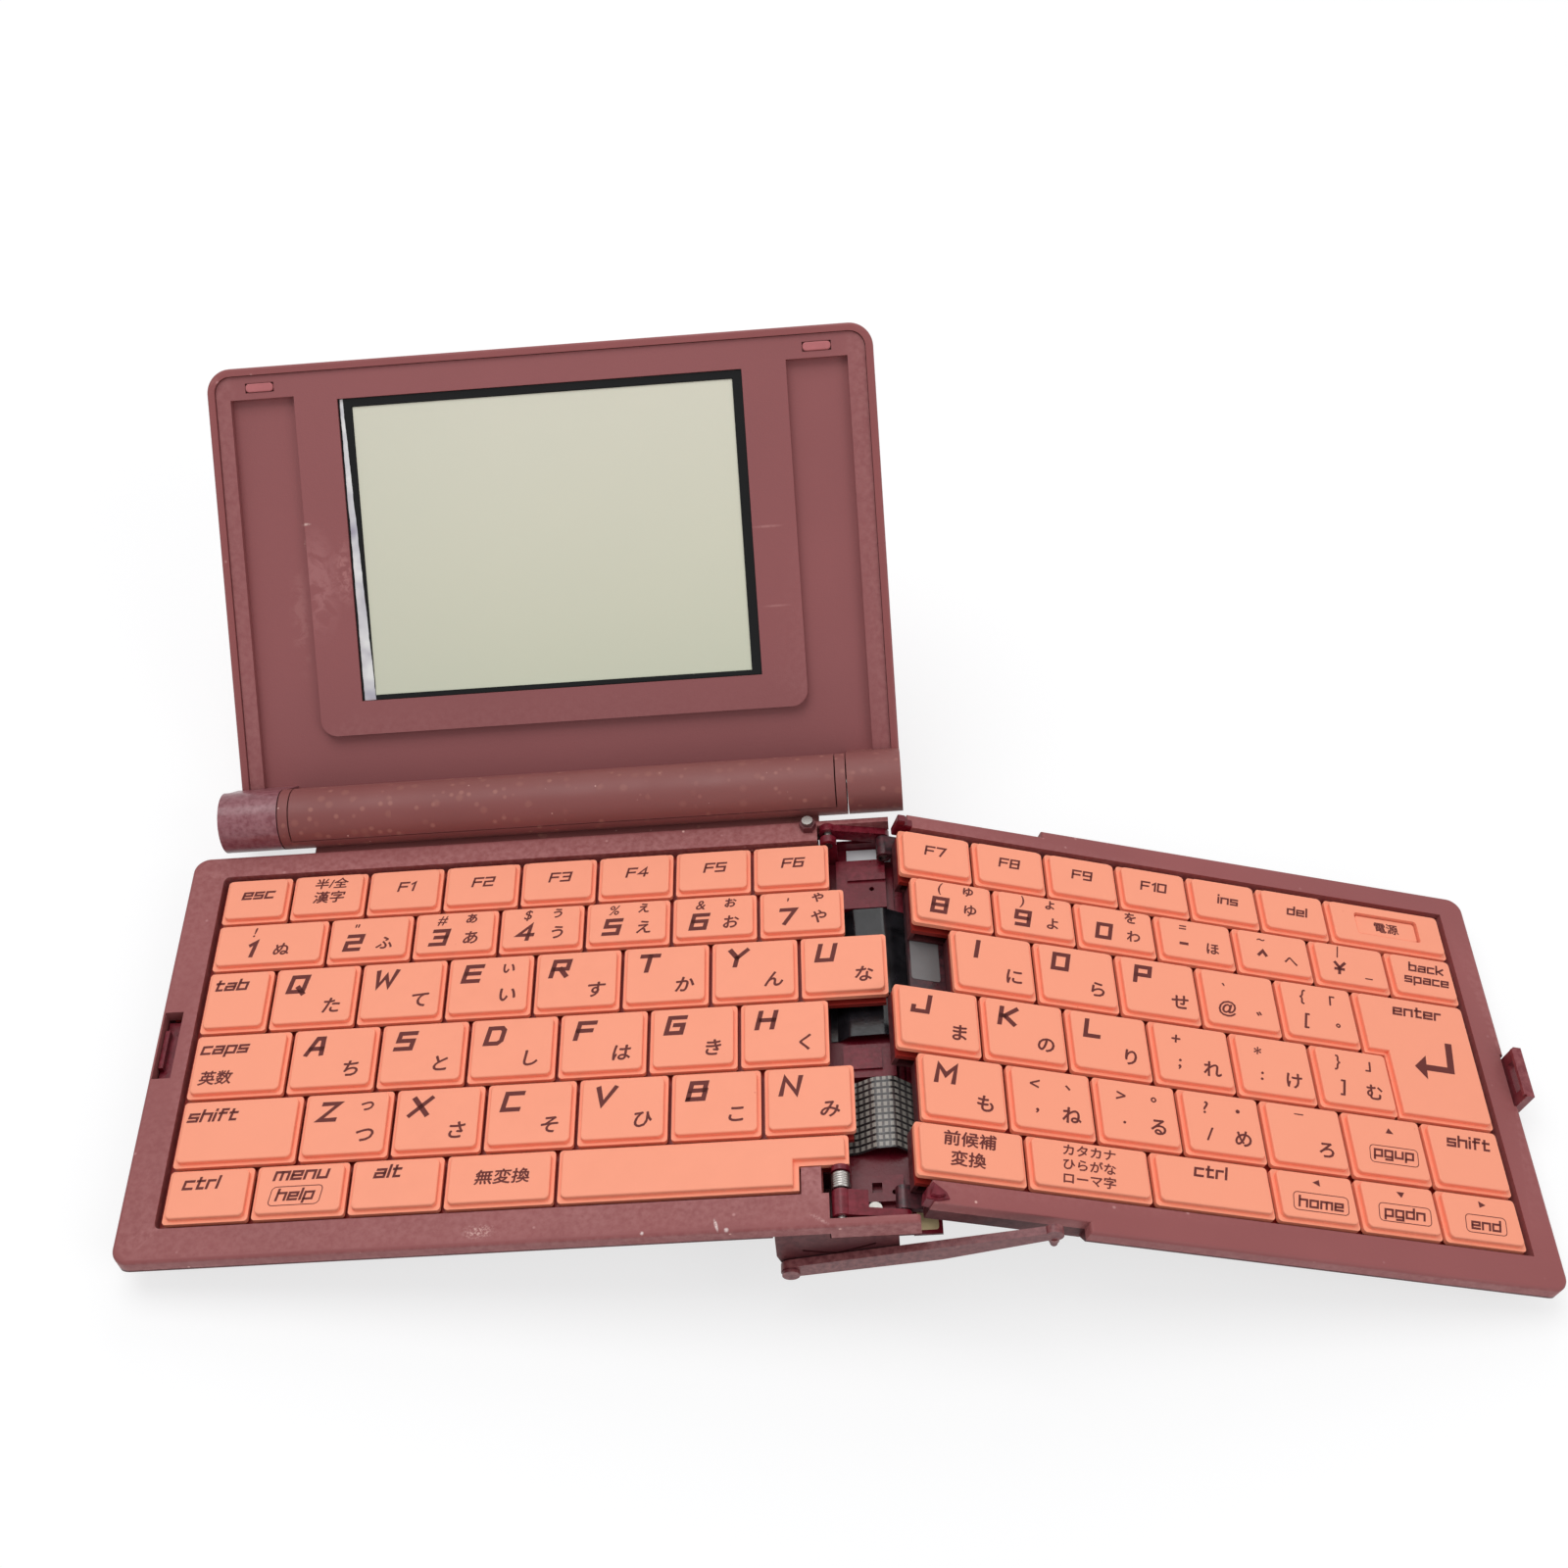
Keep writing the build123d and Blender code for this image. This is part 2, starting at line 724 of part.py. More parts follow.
def front_ear_y():
    return (front_ear_start, front_ear_start + front_ear_thickness)


def rear_ear_y():
    start = row_starts[-1] + rear_ear_gap
    return (start, start + rear_ear_thickness)


def hinge_chassis():
    """Floor and blocks of the hinge bay, with the ears of the first axis."""
    y = (housing_back + 0.6, left_rear - lip_thickness - 0.2)
    shape = block((chassis_start, chassis_end), y, (chassis_floor, chassis_floor + chassis_wall))
    front = block((chassis_start, chassis_end), (link_front - 0.3, housing_back + 0.6),
                  (chassis_floor + chassis_step, chassis_floor + chassis_wall + chassis_step))
    shape = shape + front
    shape = shape + block((chassis_end - 0.1, shelf_end), (link_front - 0.3, y[1]),
                          (chassis_floor, chassis_floor + shelf_thickness))
    for span in chassis_blocks:
        shape = shape + block((chassis_start + 3.0, chassis_end - 1.4), span,
                              (chassis_floor + shelf_thickness, chassis_top))
    for x, span in chassis_ridges:
        shape = shape + block(x, span, (chassis_top, chassis_top + ridge_height))
    shape = shape - block(*chassis_window, (chassis_top - hole_depth, 0))
    for px, py in chassis_holes:
        shape = shape - Pos(px, py, chassis_top) * Cylinder(chassis_hole_radius, 2 * hole_depth)
    shape = shape + block((chassis_start, chassis_end), (y[1] - chassis_rear_wall, y[1]),
                          (chassis_floor, chassis_rear_top))
    axis = (axis_1_x, -axis_1_drop)
    shape = shape + hinge_ears(*axis, front_ear_y()) + hinge_ears(*axis, rear_ear_y())
    bore = rod_y(*axis, hinge_pin_radius + pin_clearance, (-20, 120))
    return shape - bore


def hinge_housing():
    """Block under the front of the hinge bay; its foot slopes up to the right."""
    outline = [(housing_left, rim_bottom), (housing_left - 0.2, -housing_rim_drop),
               (housing_left + 0.8, -housing_depth + 1.4), (housing_low_x, -housing_depth),
               (housing_right, -housing_right_depth), (housing_right, rim_bottom)]
    shape = prism_y(outline, (frame_front, housing_back))
    shape = shape - block((lip_start - 0.2, far), (frame_front - 1, frame_front + lip_thickness + 0.1),
                          (-lip_drop - 0.1, 1))
    shape = shape - block((lip_start - 3.0, far), (frame_front + lip_thickness + 0.1, far),
                          (chassis_floor + chassis_wall - 1.0, 1))
    shape = shape - plate_relief()
    groove = prism_y(groove_outline, (frame_front - 1, frame_front + housing_groove))
    pivot = rod_y(arm_pivot_x, -arm_pivot_drop, hinge_pin_radius + pin_clearance,
                  (frame_front - 1, frame_front + 4))
    return shape - groove - pivot


def plate_relief():
    """Room for the key plate above the housing."""
    return block((-far, lip_start), (frame_front + shell_wall, far), (plate_bottom - 0.1, far))


def axis_1_pins():
    """Steel pins of the first fold axis."""
    front = rod_y(axis_1_x, -axis_1_drop, hinge_pin_radius,
                  (frame_front + lip_thickness, front_ear_y()[1]))
    rear = rod_y(axis_1_x, -axis_1_drop, hinge_pin_radius,
                 (rear_ear_y()[0], left_rear - lip_thickness))
    return [front, rear]


def hinge_spring():
    """Close-wound torsion spring on the front pin, with one straight leg."""
    turns = spring_turns
    step = (spring_turns_length - 2 * spring_wire) / turns
    start = link_front + link_plate_width + spring_gap + spring_wire
    rings = []
    for index in range(turns + 1):
        ring = Torus(spring_radius - spring_wire, spring_wire * 0.999)
        rings.append(Pos(axis_1_x, start + index * step, -axis_1_drop) * Rot(X=90) * ring)
    coil = join(rings)
    leg = Cylinder(spring_wire * 0.9, spring_leg, align=(Align.CENTER, Align.CENTER, Align.MIN))
    leg = Pos(axis_1_x + spring_radius - spring_wire, start + turns * step, -axis_1_drop) * Rot(X=180) * leg
    return coil + leg


def rear_post():
    """Small stop post on the rear wall of the hinge bay."""
    base = extrude(RegularPolygon(post_radius, 6), amount=post_base_height)
    tip = Cylinder(post_tip_radius, post_tip_height, align=(Align.CENTER, Align.CENTER, Align.MIN))
    return Pos(post_x, left_rear - post_inset, rim_top) * (base + Pos(0, 0, post_base_height) * tip)


def front_rivet():
    """Silver rivet beside the front spring."""
    shank = Cylinder(rivet_radius, rivet_height, align=(Align.CENTER, Align.CENTER, Align.MIN))
    head = Cylinder(rivet_head_radius, rivet_head_height,
                    align=(Align.CENTER, Align.CENTER, Align.MIN))
    base = chassis_floor + chassis_wall + chassis_step
    return Pos(rivet_x, rivet_y, base) * (shank + Pos(0, 0, rivet_height) * head)


def ribbon(points, y, thickness):
    """Flat cable with rounded bends, drawn in X and Z and as wide as y."""
    radii = []
    for index in range(1, len(points) - 1):
        before = math.dist(points[index - 1], points[index])
        after = math.dist(points[index], points[index + 1])
        radii.append(cable_bend * min(before, after))
    wire = FilletPolyline(*[(px, y[0], pz) for px, pz in points], radius=radii)
    start = Plane(origin=wire @ 0, z_dir=wire % 0, x_dir=(0, 1, 0))
    strip = sweep(start * Rectangle(y[1] - y[0], thickness), path=wire)
    return Pos(0, (y[1] - y[0]) / 2, 0) * strip


def striped_cable():
    shelf = chassis_floor + shelf_thickness + striped_thickness / 2 + cable_lift
    return ribbon([(4.2, -8.0), (7.4, -7.4), (10.6, -5.6), (14.2, -5.4), (17.6, shelf), (21.2, shelf)],
                  striped_span, striped_thickness)


def black_flexes():
    shelf = chassis_floor + shelf_thickness + flex_thickness / 2 + cable_lift
    wide = ribbon([(3.2, -8.05), (6.0, -8.05), (8.4, -6.6), (14.2, -6.5), (18.2, shelf), (21.2, shelf)],
                  wide_flex_span, flex_thickness)
    narrow = ribbon([(3.0, -8.05), (4.4, -8.05), (6.8, -6.4), (13.4, -6.2), (18.0, shelf), (21.0, shelf)],
                    narrow_flex_span, flex_thickness)
    return [wide, narrow]


def blank_labels():
    """Plain unprinted label at the rear of the hinge bay."""
    low = chassis_floor + chassis_wall
    return block(label_x, label_y, (low, low + label_thickness))


def latch_catch():
    """Red spring catch inside the latch slot."""
    x = (latch_slot_start + 0.2, latch_slot_start + latch_slot_width - 0.2)
    shape = block(x, (latch_front + 0.4, latch_front + latch_length - 0.4),
                  (-slot_drop, -slot_drop + catch_base))
    tooth = block((x[0], x[0] + 0.9), (latch_front + 3, latch_front + latch_length - 3),
                  (-slot_drop + catch_base, -catch_drop))
    return shape + tooth


# ---------------------------------------------------------------- battery barrel
def barrel_sector(inner, outer, x, angles):
    """Part of a tube wall between two angles about the barrel axis."""
    ring = rod_x(0, 0, outer, x) - rod_x(0, 0, inner, (x[0] - 1, x[1] + 1))
    reach = outer * 3
    points = [(0.0, 0.0)]
    steps = 6
    for index in range(steps + 1):
        angle = math.radians(angles[0] + (angles[1] - angles[0]) * index / steps)
        points.append((reach * math.cos(angle), reach * math.sin(angle)))
    face = make_face(Polyline(*[(x[0] - 1, py, pz) for py, pz in points], close=True))
    wedge = extrude(face, amount=x[1] - x[0] + 2, dir=(1, 0, 0))
    return ring & wedge


def tube_span():
    return (barrel_cap_end + barrel_seam, barrel_right_seam - barrel_seam)


def at_barrel(shape):
    return Pos(0, barrel_y, barrel_rise) * shape


def battery_tube():
    """Fixed wall of the battery barrel with its closed ends and its foot on the frame."""
    x = tube_span()
    bore_radius = barrel_radius - barrel_wall
    wall = rod_x(0, 0, barrel_radius, x) - rod_x(0, 0, bore_radius, (x[0] + end_disc, x[1] - end_disc))
    window = (x[0] + end_disc, x[1] - end_disc)
    gap_angle = math.degrees(barrel_seam / barrel_radius)
    opening = barrel_sector(bore_radius - 0.5, barrel_radius + 2, window,
                            (cover_from - gap_angle, cover_to + gap_angle))
    wall = wall - opening
    wall = wall + rod_x(0, 0, bore_radius, (cell_end(), cell_end() + 1.2))
    bore = rod_x(0, 0, lid_pin_radius + pin_clearance, (x[0] - 1, x[0] + end_disc))
    bore = bore + rod_x(0, 0, lid_pin_radius + pin_clearance, (x[1] - end_disc, x[1] + 1))
    foot = block((x[0] + 6, x[1] - 6), (left_rear, barrel_y - 1.0), (rim_bottom, rim_bottom + 1.6))
    foot = foot - at_barrel(rod_x(0, 0, barrel_radius - 0.2, (x[0] - 1, x[1] + 1)))
    return at_barrel(wall - bore) + foot


def battery_cover():
    x = (tube_span()[0] + end_disc + barrel_seam, tube_span()[1] - end_disc - barrel_seam)
    return at_barrel(barrel_sector(barrel_radius - barrel_wall, barrel_radius, x, (cover_from, cover_to)))


def first_cell_start():
    return tube_span()[0] + end_disc + 1.4


def cell_end():
    return first_cell_start() + 2 * cell_length + 4.0


def battery_cells():
    cells = []
    for index in range(2):
        start = first_cell_start() + index * (cell_length + 0.3)
        body = rod_x(0, 0, cell_radius, (start, start + cell_length - cell_nub))
        nub = rod_x(0, 0, cell_nub_radius, (start + cell_length - cell_nub, start + cell_length))
        cells.append(at_barrel(body + nub))
    return cells


def battery_contacts():
    """Spring at one end of the cells and a plate at the other."""
    start = first_cell_start() - 1.1
    disc = at_barrel(rod_x(0, 0, contact_radius, (start, start + contact_thickness)))
    coil = at_barrel(rod_x(0, 0, 2.4, (start + contact_thickness, start + 0.9)))
    plate_start = first_cell_start() + 2 * cell_length + 0.6
    plate_disc = at_barrel(rod_x(0, 0, contact_radius, (plate_start, plate_start + contact_thickness)))
    spring = at_barrel(rod_x(0, 0, 2.0, (plate_start + contact_thickness, cell_end())))
    return [disc + coil, plate_disc + spring]


def lid_pins():
    """Steel pins that the lid turns on."""
    x = tube_span()
    left = rod_x(0, 0, lid_pin_radius, (x[0] - lid_pin_reach, x[0] + end_disc))
    right = rod_x(0, 0, lid_pin_radius, (x[1] - end_disc, x[1] + lid_pin_reach))
    return [at_barrel(left), at_barrel(right)]


# ---------------------------------------------------------------- lid
# The lid's own frame: X along the barrel, Y up the lid from the barrel axis, Z towards
# the keys; the screen face lies lid_screen_plane behind the axis.
def lid_outer_shell():
    front = -lid_screen_plane + lid_rim_rise
    shape = block((lid_left, lid_right), (lid_foot, lid_top), (-lid_back, front))
    upper = shape.edges().filter_by(Axis.Z).group_by(Axis.Y)[-1]
    shape = fillet(upper, lid_corner)
    shape = fillet(shape.faces().sort_by(Axis.Z)[0].edges(), lid_edge)
    shape = fillet(shape.faces().sort_by(Axis.Z)[-1].edges(), lid_edge / 3)
    cavity = block((lid_left + lid_wall, lid_right - lid_wall), (lid_foot + lid_wall, lid_top - lid_wall),
                   (-lid_back + lid_wall, beyond))
    cavity = fillet(cavity.edges().filter_by(Axis.Z).group_by(Axis.Y)[-1], lid_corner - lid_wall)
    return shape - cavity


def lid_inner_shell():
    """Inner cover: recessed floor, raised screen panel and top band."""
    floor_top = -lid_screen_plane - lid_floor_sink
    fit = lid_wall + 0.1
    shape = block((lid_left + fit, lid_right - fit), (lid_foot + fit, lid_top - fit),
                  (floor_top - lid_inner_thickness, -lid_screen_plane + lid_panel_rise))
    shape = fillet(shape.edges().filter_by(Axis.Z).group_by(Axis.Y)[-1], lid_corner - fit)
    recess = block((recess_left, recess_right), (lid_foot - 5, recess_top), (floor_top, beyond))
    panel = plate((panel_left, panel_right), (panel_foot, recess_top + beyond),
                  (floor_top - beyond, -lid_screen_plane + lid_panel_rise), panel_corner)
    shape = shape - (recess - panel)
    window = block((border_left, border_right), (border_foot, border_top), (-lid_back, beyond))
    return shape - window - pad_seats()


def pad_places():
    return [pad_left, pad_right]


def pad_seats():
    seats = []
    for px in pad_places():
        seats.append(block((px, px + pad_length), (pad_foot, pad_foot + pad_width),
                           (-lid_screen_plane - pad_seat_depth, beyond)))
    return Compound(seats)


def lid_pads():
    """Rubber bumpers at the top of the lid."""
    pads = []
    for px in pad_places():
        z = (-lid_screen_plane - pad_seat_depth, -lid_screen_plane + lid_panel_rise + pad_height)
        pad = plate((px + 0.1, px + pad_length - 0.1), (pad_foot + 0.1, pad_foot + pad_width - 0.1),
                    z, pad_corner)
        pads.append(fillet(pad.faces().sort_by(Axis.Z)[-1].edges(), pad_edge))
    return pads


def screen_border():
    """Black frame of the display module."""
    back = -lid_screen_plane - lid_floor_sink - lid_inner_thickness
    shape = block((border_left + 0.1, border_right - 0.1), (border_foot + 0.1, border_top - 0.1),
                  (back, -lid_screen_plane - border_sink))
    lit = block((screen_left, screen_right), (screen_foot, screen_top),
                (-lid_screen_plane - screen_sink - panel_thickness, beyond))
    return shape - lit


def screen_panel():
    top = -lid_screen_plane - screen_sink
    return block((screen_left + 0.1, screen_right - 0.1), (screen_foot + 0.1, screen_top - 0.1),
                 (top - panel_thickness, top))


def lid_board():
    """Display driver board behind the module, resting on the back of the lid."""
    return block((border_left + 6, border_right - 6), (border_foot + 4, border_top - 4),
                 (-lid_back + lid_wall, -lid_screen_plane - lid_floor_sink - lid_inner_thickness))


def knuckle(x):
    """Hinge knuckle with the neck that carries the lid."""
    ring = rod_x(0, 0, barrel_radius, x)
    neck = block(x, (lid_foot, neck_top), (-lid_screen_plane + lid_rim_rise, 0))
    seat_x = (max(x[0], recess_left + 0.1), min(x[1], recess_right - 0.1))
    seat = block(seat_x, (lid_foot + lid_wall + 0.1, neck_top),
                 (-lid_screen_plane - lid_floor_sink, -lid_screen_plane + lid_rim_rise))
    return ring + neck + seat


def left_knuckle():
    x = (barrel_left, barrel_cap_end)
    shape = knuckle(x)
    bore = rod_x(0, 0, lid_pin_radius + pin_clearance, (tube_span()[0] - lid_pin_reach, x[1] + 1))
    return shape - bore


def right_knuckle():
    x = (barrel_right_seam, barrel_end)
    shape = knuckle(x)
    bore = rod_x(0, 0, lid_pin_radius + pin_clearance, (x[0] - 1, tube_span()[1] + lid_pin_reach))
    return shape - bore


# ---------------------------------------------------------------- links and carriage
def link_bar(y, reach):
    """Straight bar from the first fold axis towards the second, in the left half's frame."""
    first = (axis_1_x, -axis_1_drop)
    second = axis_2_place()
    dx, dz = (second[0] - first[0]) / link_length, (second[1] - first[1]) / link_length
    end = (first[0] + dx * reach, first[1] + dz * reach)
    side = (-dz * knuckle_radius, dx * knuckle_radius)
    outline = [(first[0] + side[0], first[1] + side[1]), (end[0] + side[0], end[1] + side[1]),
               (end[0] - side[0], end[1] - side[1]), (first[0] - side[0], first[1] - side[1])]
    return prism_y(outline, y) + rod_y(*first, link_end_radius, y)


def link(y):
    """Hinge link between the two fold axes."""
    bar = link_bar(y, link_length) + rod_y(*axis_2_place(), knuckle_radius, y)
    if y == front_link_y():
        bar = bar + link_bar((link_front, link_front + link_plate_width), link_plate_reach)
    for place in ((axis_1_x, -axis_1_drop), axis_2_place()):
        bar = bar - rod_y(*place, hinge_pin_radius + pin_clearance, (y[0] - beyond, y[1] + beyond))
    return bar


def axis_2_place():
    """Second fold axis in the left half's frame."""
    angle = math.radians(link_rest_angle)
    return (axis_1_x + link_length * math.cos(angle), -axis_1_drop + link_length * math.sin(angle))


def front_link_y():
    return (link_front, link_front + link_thickness)


def rear_link_y():
    return (link_rear - link_thickness, link_rear)


def front_knuckle_y():
    start = front_link_y()[1] + 0.3
    return (start, start + knuckle_length)


def rear_knuckle_y():
    end = rear_link_y()[0] - 0.3
    return (end - knuckle_length, end)


def axis_2_pins():
    """Steel pins of the second fold axis, held in the links."""
    place = axis_2_place()
    front = rod_y(*place, hinge_pin_radius, (link_front, front_knuckle_y()[1] - 0.5))
    rear = rod_y(*place, hinge_pin_radius, (rear_knuckle_y()[0] + 0.5, link_rear))
    return [front, rear]


def slide_carriage():
    """Plate under the inner part of the right half, which slides on it; right frame."""
    top = -narrow_depth - carriage_gap
    shape = block((carriage_start, carriage_end), (carriage_front, carriage_rear),
                  (top - carriage_thickness, top))
    arm_x = (carriage_start, carriage_start + carriage_arm_width)
    low = top - carriage_thickness
    shape = shape + block(arm_x, (front_knuckle_y()[0], carriage_front + 1), (low, top))
    shape = shape + block(arm_x, (carriage_rear - 1, rear_knuckle_y()[1]), (low, top))
    for y in (front_knuckle_y(), rear_knuckle_y()):
        ring = rod_y(axis_2_x, -axis_2_drop, knuckle_radius, y)
        shape = shape + ring + block((axis_2_x, arm_x[1]), y, (low, top))
    return shape - rod_y(axis_2_x, -axis_2_drop, hinge_pin_radius + pin_clearance, (-30, 130))


# ---------------------------------------------------------------- right half
def right_sheet(z, end_edge):
    starts = [row[0] + well_margin for row in right_rows]
    ends = [right_keys_end + end_edge] * 6
    return stepped_sheet(starts, ends, z)


def right_key_plate():
    shape = right_sheet((plate_bottom, plate_top), well_margin)
    edge = shell_wall + 0.2
    border = block((right_keys_end, right_end - edge), (frame_front + edge, right_rear - edge),
                   (plate_bottom, plate_top))
    front = block((wide_start + 4, right_keys_end + 1), (frame_front + edge, row_starts[0]),
                  (plate_bottom, plate_top))
    rear = block((wide_start + 4, right_keys_end + 1), (row_starts[-1], right_rear - edge),
                 (plate_bottom, plate_top))
    return shape + border + front + rear - hook_room() - Compound(all_stem_holes(right_cells()))


def right_membrane():
    shape = right_sheet((plate_top, plate_top + membrane_thickness), 0)
    return shape - Compound(all_stem_holes(right_cells()))


def right_outline(z, grow=0.0):
    """Plan of the right half: a wide outer part and a narrower inner part."""
    wide = block((wide_start + grow, right_end - grow), (frame_front + grow, right_rear - grow), z)
    narrow = block((narrow_start + grow, wide_start + beyond), (narrow_front + grow, narrow_rear - grow), z)
    return wide, narrow


def right_upper_frame():
    wide, narrow = right_outline((rim_bottom, rim_top))
    wide = fillet(wide.edges().filter_by(Axis.Z).group_by(Axis.X)[-1], corner_radius)
    wide = fillet(wide.faces().sort_by(Axis.Z)[-1].edges(), edge_round)
    narrow = fillet(narrow.faces().sort_by(Axis.Z)[-1].edges(), edge_round / 2)
    well = block((narrow_start - beyond, right_keys_end + well_margin), (well_front, well_rear),
                 (-beyond, beyond))
    return wide + narrow - well - hook_room()


def right_bottom_shell():
    """Belly of the right half, its thin inner floor and the two slide rails."""
    x = (wide_start, right_end)
    outer, inner = belly(x, (frame_front, right_rear), right_depth, "right")
    cut = block((wide_start - 1, wide_start + shell_wall + 1),
                (row_starts[0], row_starts[-1]), (-narrow_depth + narrow_skin, far))
    shell = outer - inner - cut
    skin_z = (-narrow_depth, -narrow_depth + narrow_skin)
    strips = []
    for row in range(6):
        start = right_rows[row][0] + well_margin
        front = narrow_front if row == 0 else row_starts[row]
        rear = narrow_rear if row == 5 else row_starts[row + 1]
        if row in (0, 5):
            lip = (front, row_starts[0]) if row == 0 else (row_starts[6], rear)
            strips.append(block((narrow_start, wide_start + 0.2), lip, skin_z))
        strips.append(block((start, wide_start + 0.2),
                            (row_starts[row], row_starts[row + 1]), skin_z))
        strips.append(block((start, start + 0.8), (row_starts[row], row_starts[row + 1]),
                            (-narrow_depth, plate_bottom)))
    for y in ((narrow_front, narrow_front + 1.2), (narrow_rear - 1.2, narrow_rear)):
        strips.append(block((narrow_start, wide_start + 0.2), y, (-narrow_depth, rim_bottom)))
    shell = shell + join(strips) + slide_rails()
    floor = -right_depth + shell_wall
    for px, py in right_screw_places():
        shell = shell + boss(px, py, floor, floor + board_height)
    for px, py in right_screw_places():
        shell = shell - screw_hole(px, py, right_depth)
    return shell - hook_room()


def slide_rails():
    """Hooked rails that hold the carriage's side edges."""
    top = -narrow_depth
    low = -narrow_depth - 2 * carriage_gap - carriage_thickness - rail_wall
    x = (rail_start, wide_start + 0.2)
    front = block(x, (carriage_front - carriage_gap - rail_wall, carriage_front - carriage_gap), (low, top))
    front = front + block(x, (carriage_front - carriage_gap - rail_wall, carriage_front + rail_lip),
                          (low, low + rail_wall))
    rear = block(x, (carriage_rear + carriage_gap, carriage_rear + carriage_gap + rail_wall), (low, top))
    rear = rear + block(x, (carriage_rear - rail_lip, carriage_rear + carriage_gap + rail_wall),
                        (low, low + rail_wall))
    return front + rear


def hook_x():
    """The hook lands in the latch slot when the halves fold together."""
    return axis_1_x + axis_2_x - (latch_slot_start + hook_landing)


def hook_room():
    middle = hook_x()
    reach = hook_width / 2 + hook_clearance
    inset = hook_inset - hook_clearance
    return block((middle - reach - hook_travel, middle + reach),
                 (latch_front + inset, latch_front + latch_length - inset),
                 (-hook_depth - 0.6, beyond))


def latch_hook():
    """Sprung hook that stands up from the right rim."""
    middle = hook_x()
    x = (middle - hook_width / 2, middle + hook_width / 2)
    y = (latch_front + hook_inset, latch_front + latch_length - hook_inset)
    shape = block(x, y, (-hook_depth, hook_rise))
    shape = shape - block((x[0] - 1, x[1] + 1), (y[0] + 2.4, y[1] - 2.4), (-0.4, hook_rise - hook_bridge))
    tip = block((x[0] - hook_tip, x[0]), (y[0] + 0.4, y[1] - 0.4), (hook_rise - 0.7, hook_rise))
    return shape + tip


# ---------------------------------------------------------------- front arm
def arm_y():
    rear = frame_front - arm_gap
    return (rear - arm_thickness, rear)


def front_arm():
    """Link arm along the front; its far end has left its seat in the right half."""
    y = arm_y()
    pivot = (arm_pivot_x, -arm_pivot_drop)
    knee = (arm_knee_x, -arm_knee_drop)
    tip = (arm_tip_x, -arm_tip_drop)
    shape = rod_y(*pivot, arm_end_half, y)
    shape = shape + prism_y([(pivot[0] - 0.3, pivot[1] + arm_end_half), (knee[0], knee[1] + arm_knee_half),
                             (tip[0], tip[1] + arm_tip_half), (tip[0], tip[1] - arm_tip_half),
                             (knee[0], knee[1] - arm_knee_half),
                             (pivot[0] + 0.3, pivot[1] - arm_end_half)], y)
    shape = shape + rod_y(*tip, arm_knob_radius, y)
    return shape - rod_y(*pivot, hinge_pin_radius + pin_clearance, (-30, 30))


def arm_pivot_pin():
    """Headed steel pin that holds the arm to the hinge housing."""
    y = arm_y()
    shank = rod_y(arm_pivot_x, -arm_pivot_drop, hinge_pin_radius, (y[0] - 0.1, frame_front + 4))
    head = rod_y(arm_pivot_x, -arm_pivot_drop, arm_pin_head_radius,
                 (y[0] - 0.1 - arm_pin_head, y[0] - 0.1))
    return shank + head


def arm_end_pin():
    """Loose stepped pin at the arm's far end."""
    y = arm_y()
    drop = arm_tip_drop + arm_knob_radius
    collar = Cylinder(end_pin_radius, end_pin_collar, align=(Align.CENTER, Align.CENTER, Align.MAX))
    tip = Cylinder(end_pin_tip_radius, end_pin_tip, align=(Align.CENTER, Align.CENTER, Align.MAX))
    middle = (y[0] + y[1]) / 2
    pin = Pos(arm_tip_x, middle, -drop + 0.4) * (collar + Pos(0, 0, -end_pin_collar) * tip)
    return pin - front_arm()


# ---------------------------------------------------------------- whole device
def standing_angle():
    """Roll of the left half that sets both outer feet on one level."""
    left = (left_foot_start(), -left_depth - foot_height)
    right = to_left_frame(right_foot_start() + foot_width, -right_depth - foot_height)
    return math.degrees(math.atan2(left[1] - right[1], right[0] - left[0]))


def right_origin():
    """Right half's origin in the left half's frame."""
    place = axis_2_place()
    angle = math.radians(spread_angle)
    x = axis_2_x * math.cos(angle) - axis_2_drop * math.sin(angle)
    z = -axis_2_x * math.sin(angle) - axis_2_drop * math.cos(angle)
    return (place[0] - x, place[1] - z)


def to_left_frame(x, z):
    angle = math.radians(spread_angle)
    origin = right_origin()
    return (origin[0] + x * math.cos(angle) + z * math.sin(angle),
            origin[1] - x * math.sin(angle) + z * math.cos(angle))


def left_location():
    return Rot(Y=-standing_angle())


def right_location():
    origin = right_origin()
    return left_location() * Pos(origin[0], 0, origin[1]) * Rot(Y=spread_angle)


def lid_location():
    return left_location() * Pos(0, barrel_y, barrel_rise) * Rot(X=180 - lid_open_angle)


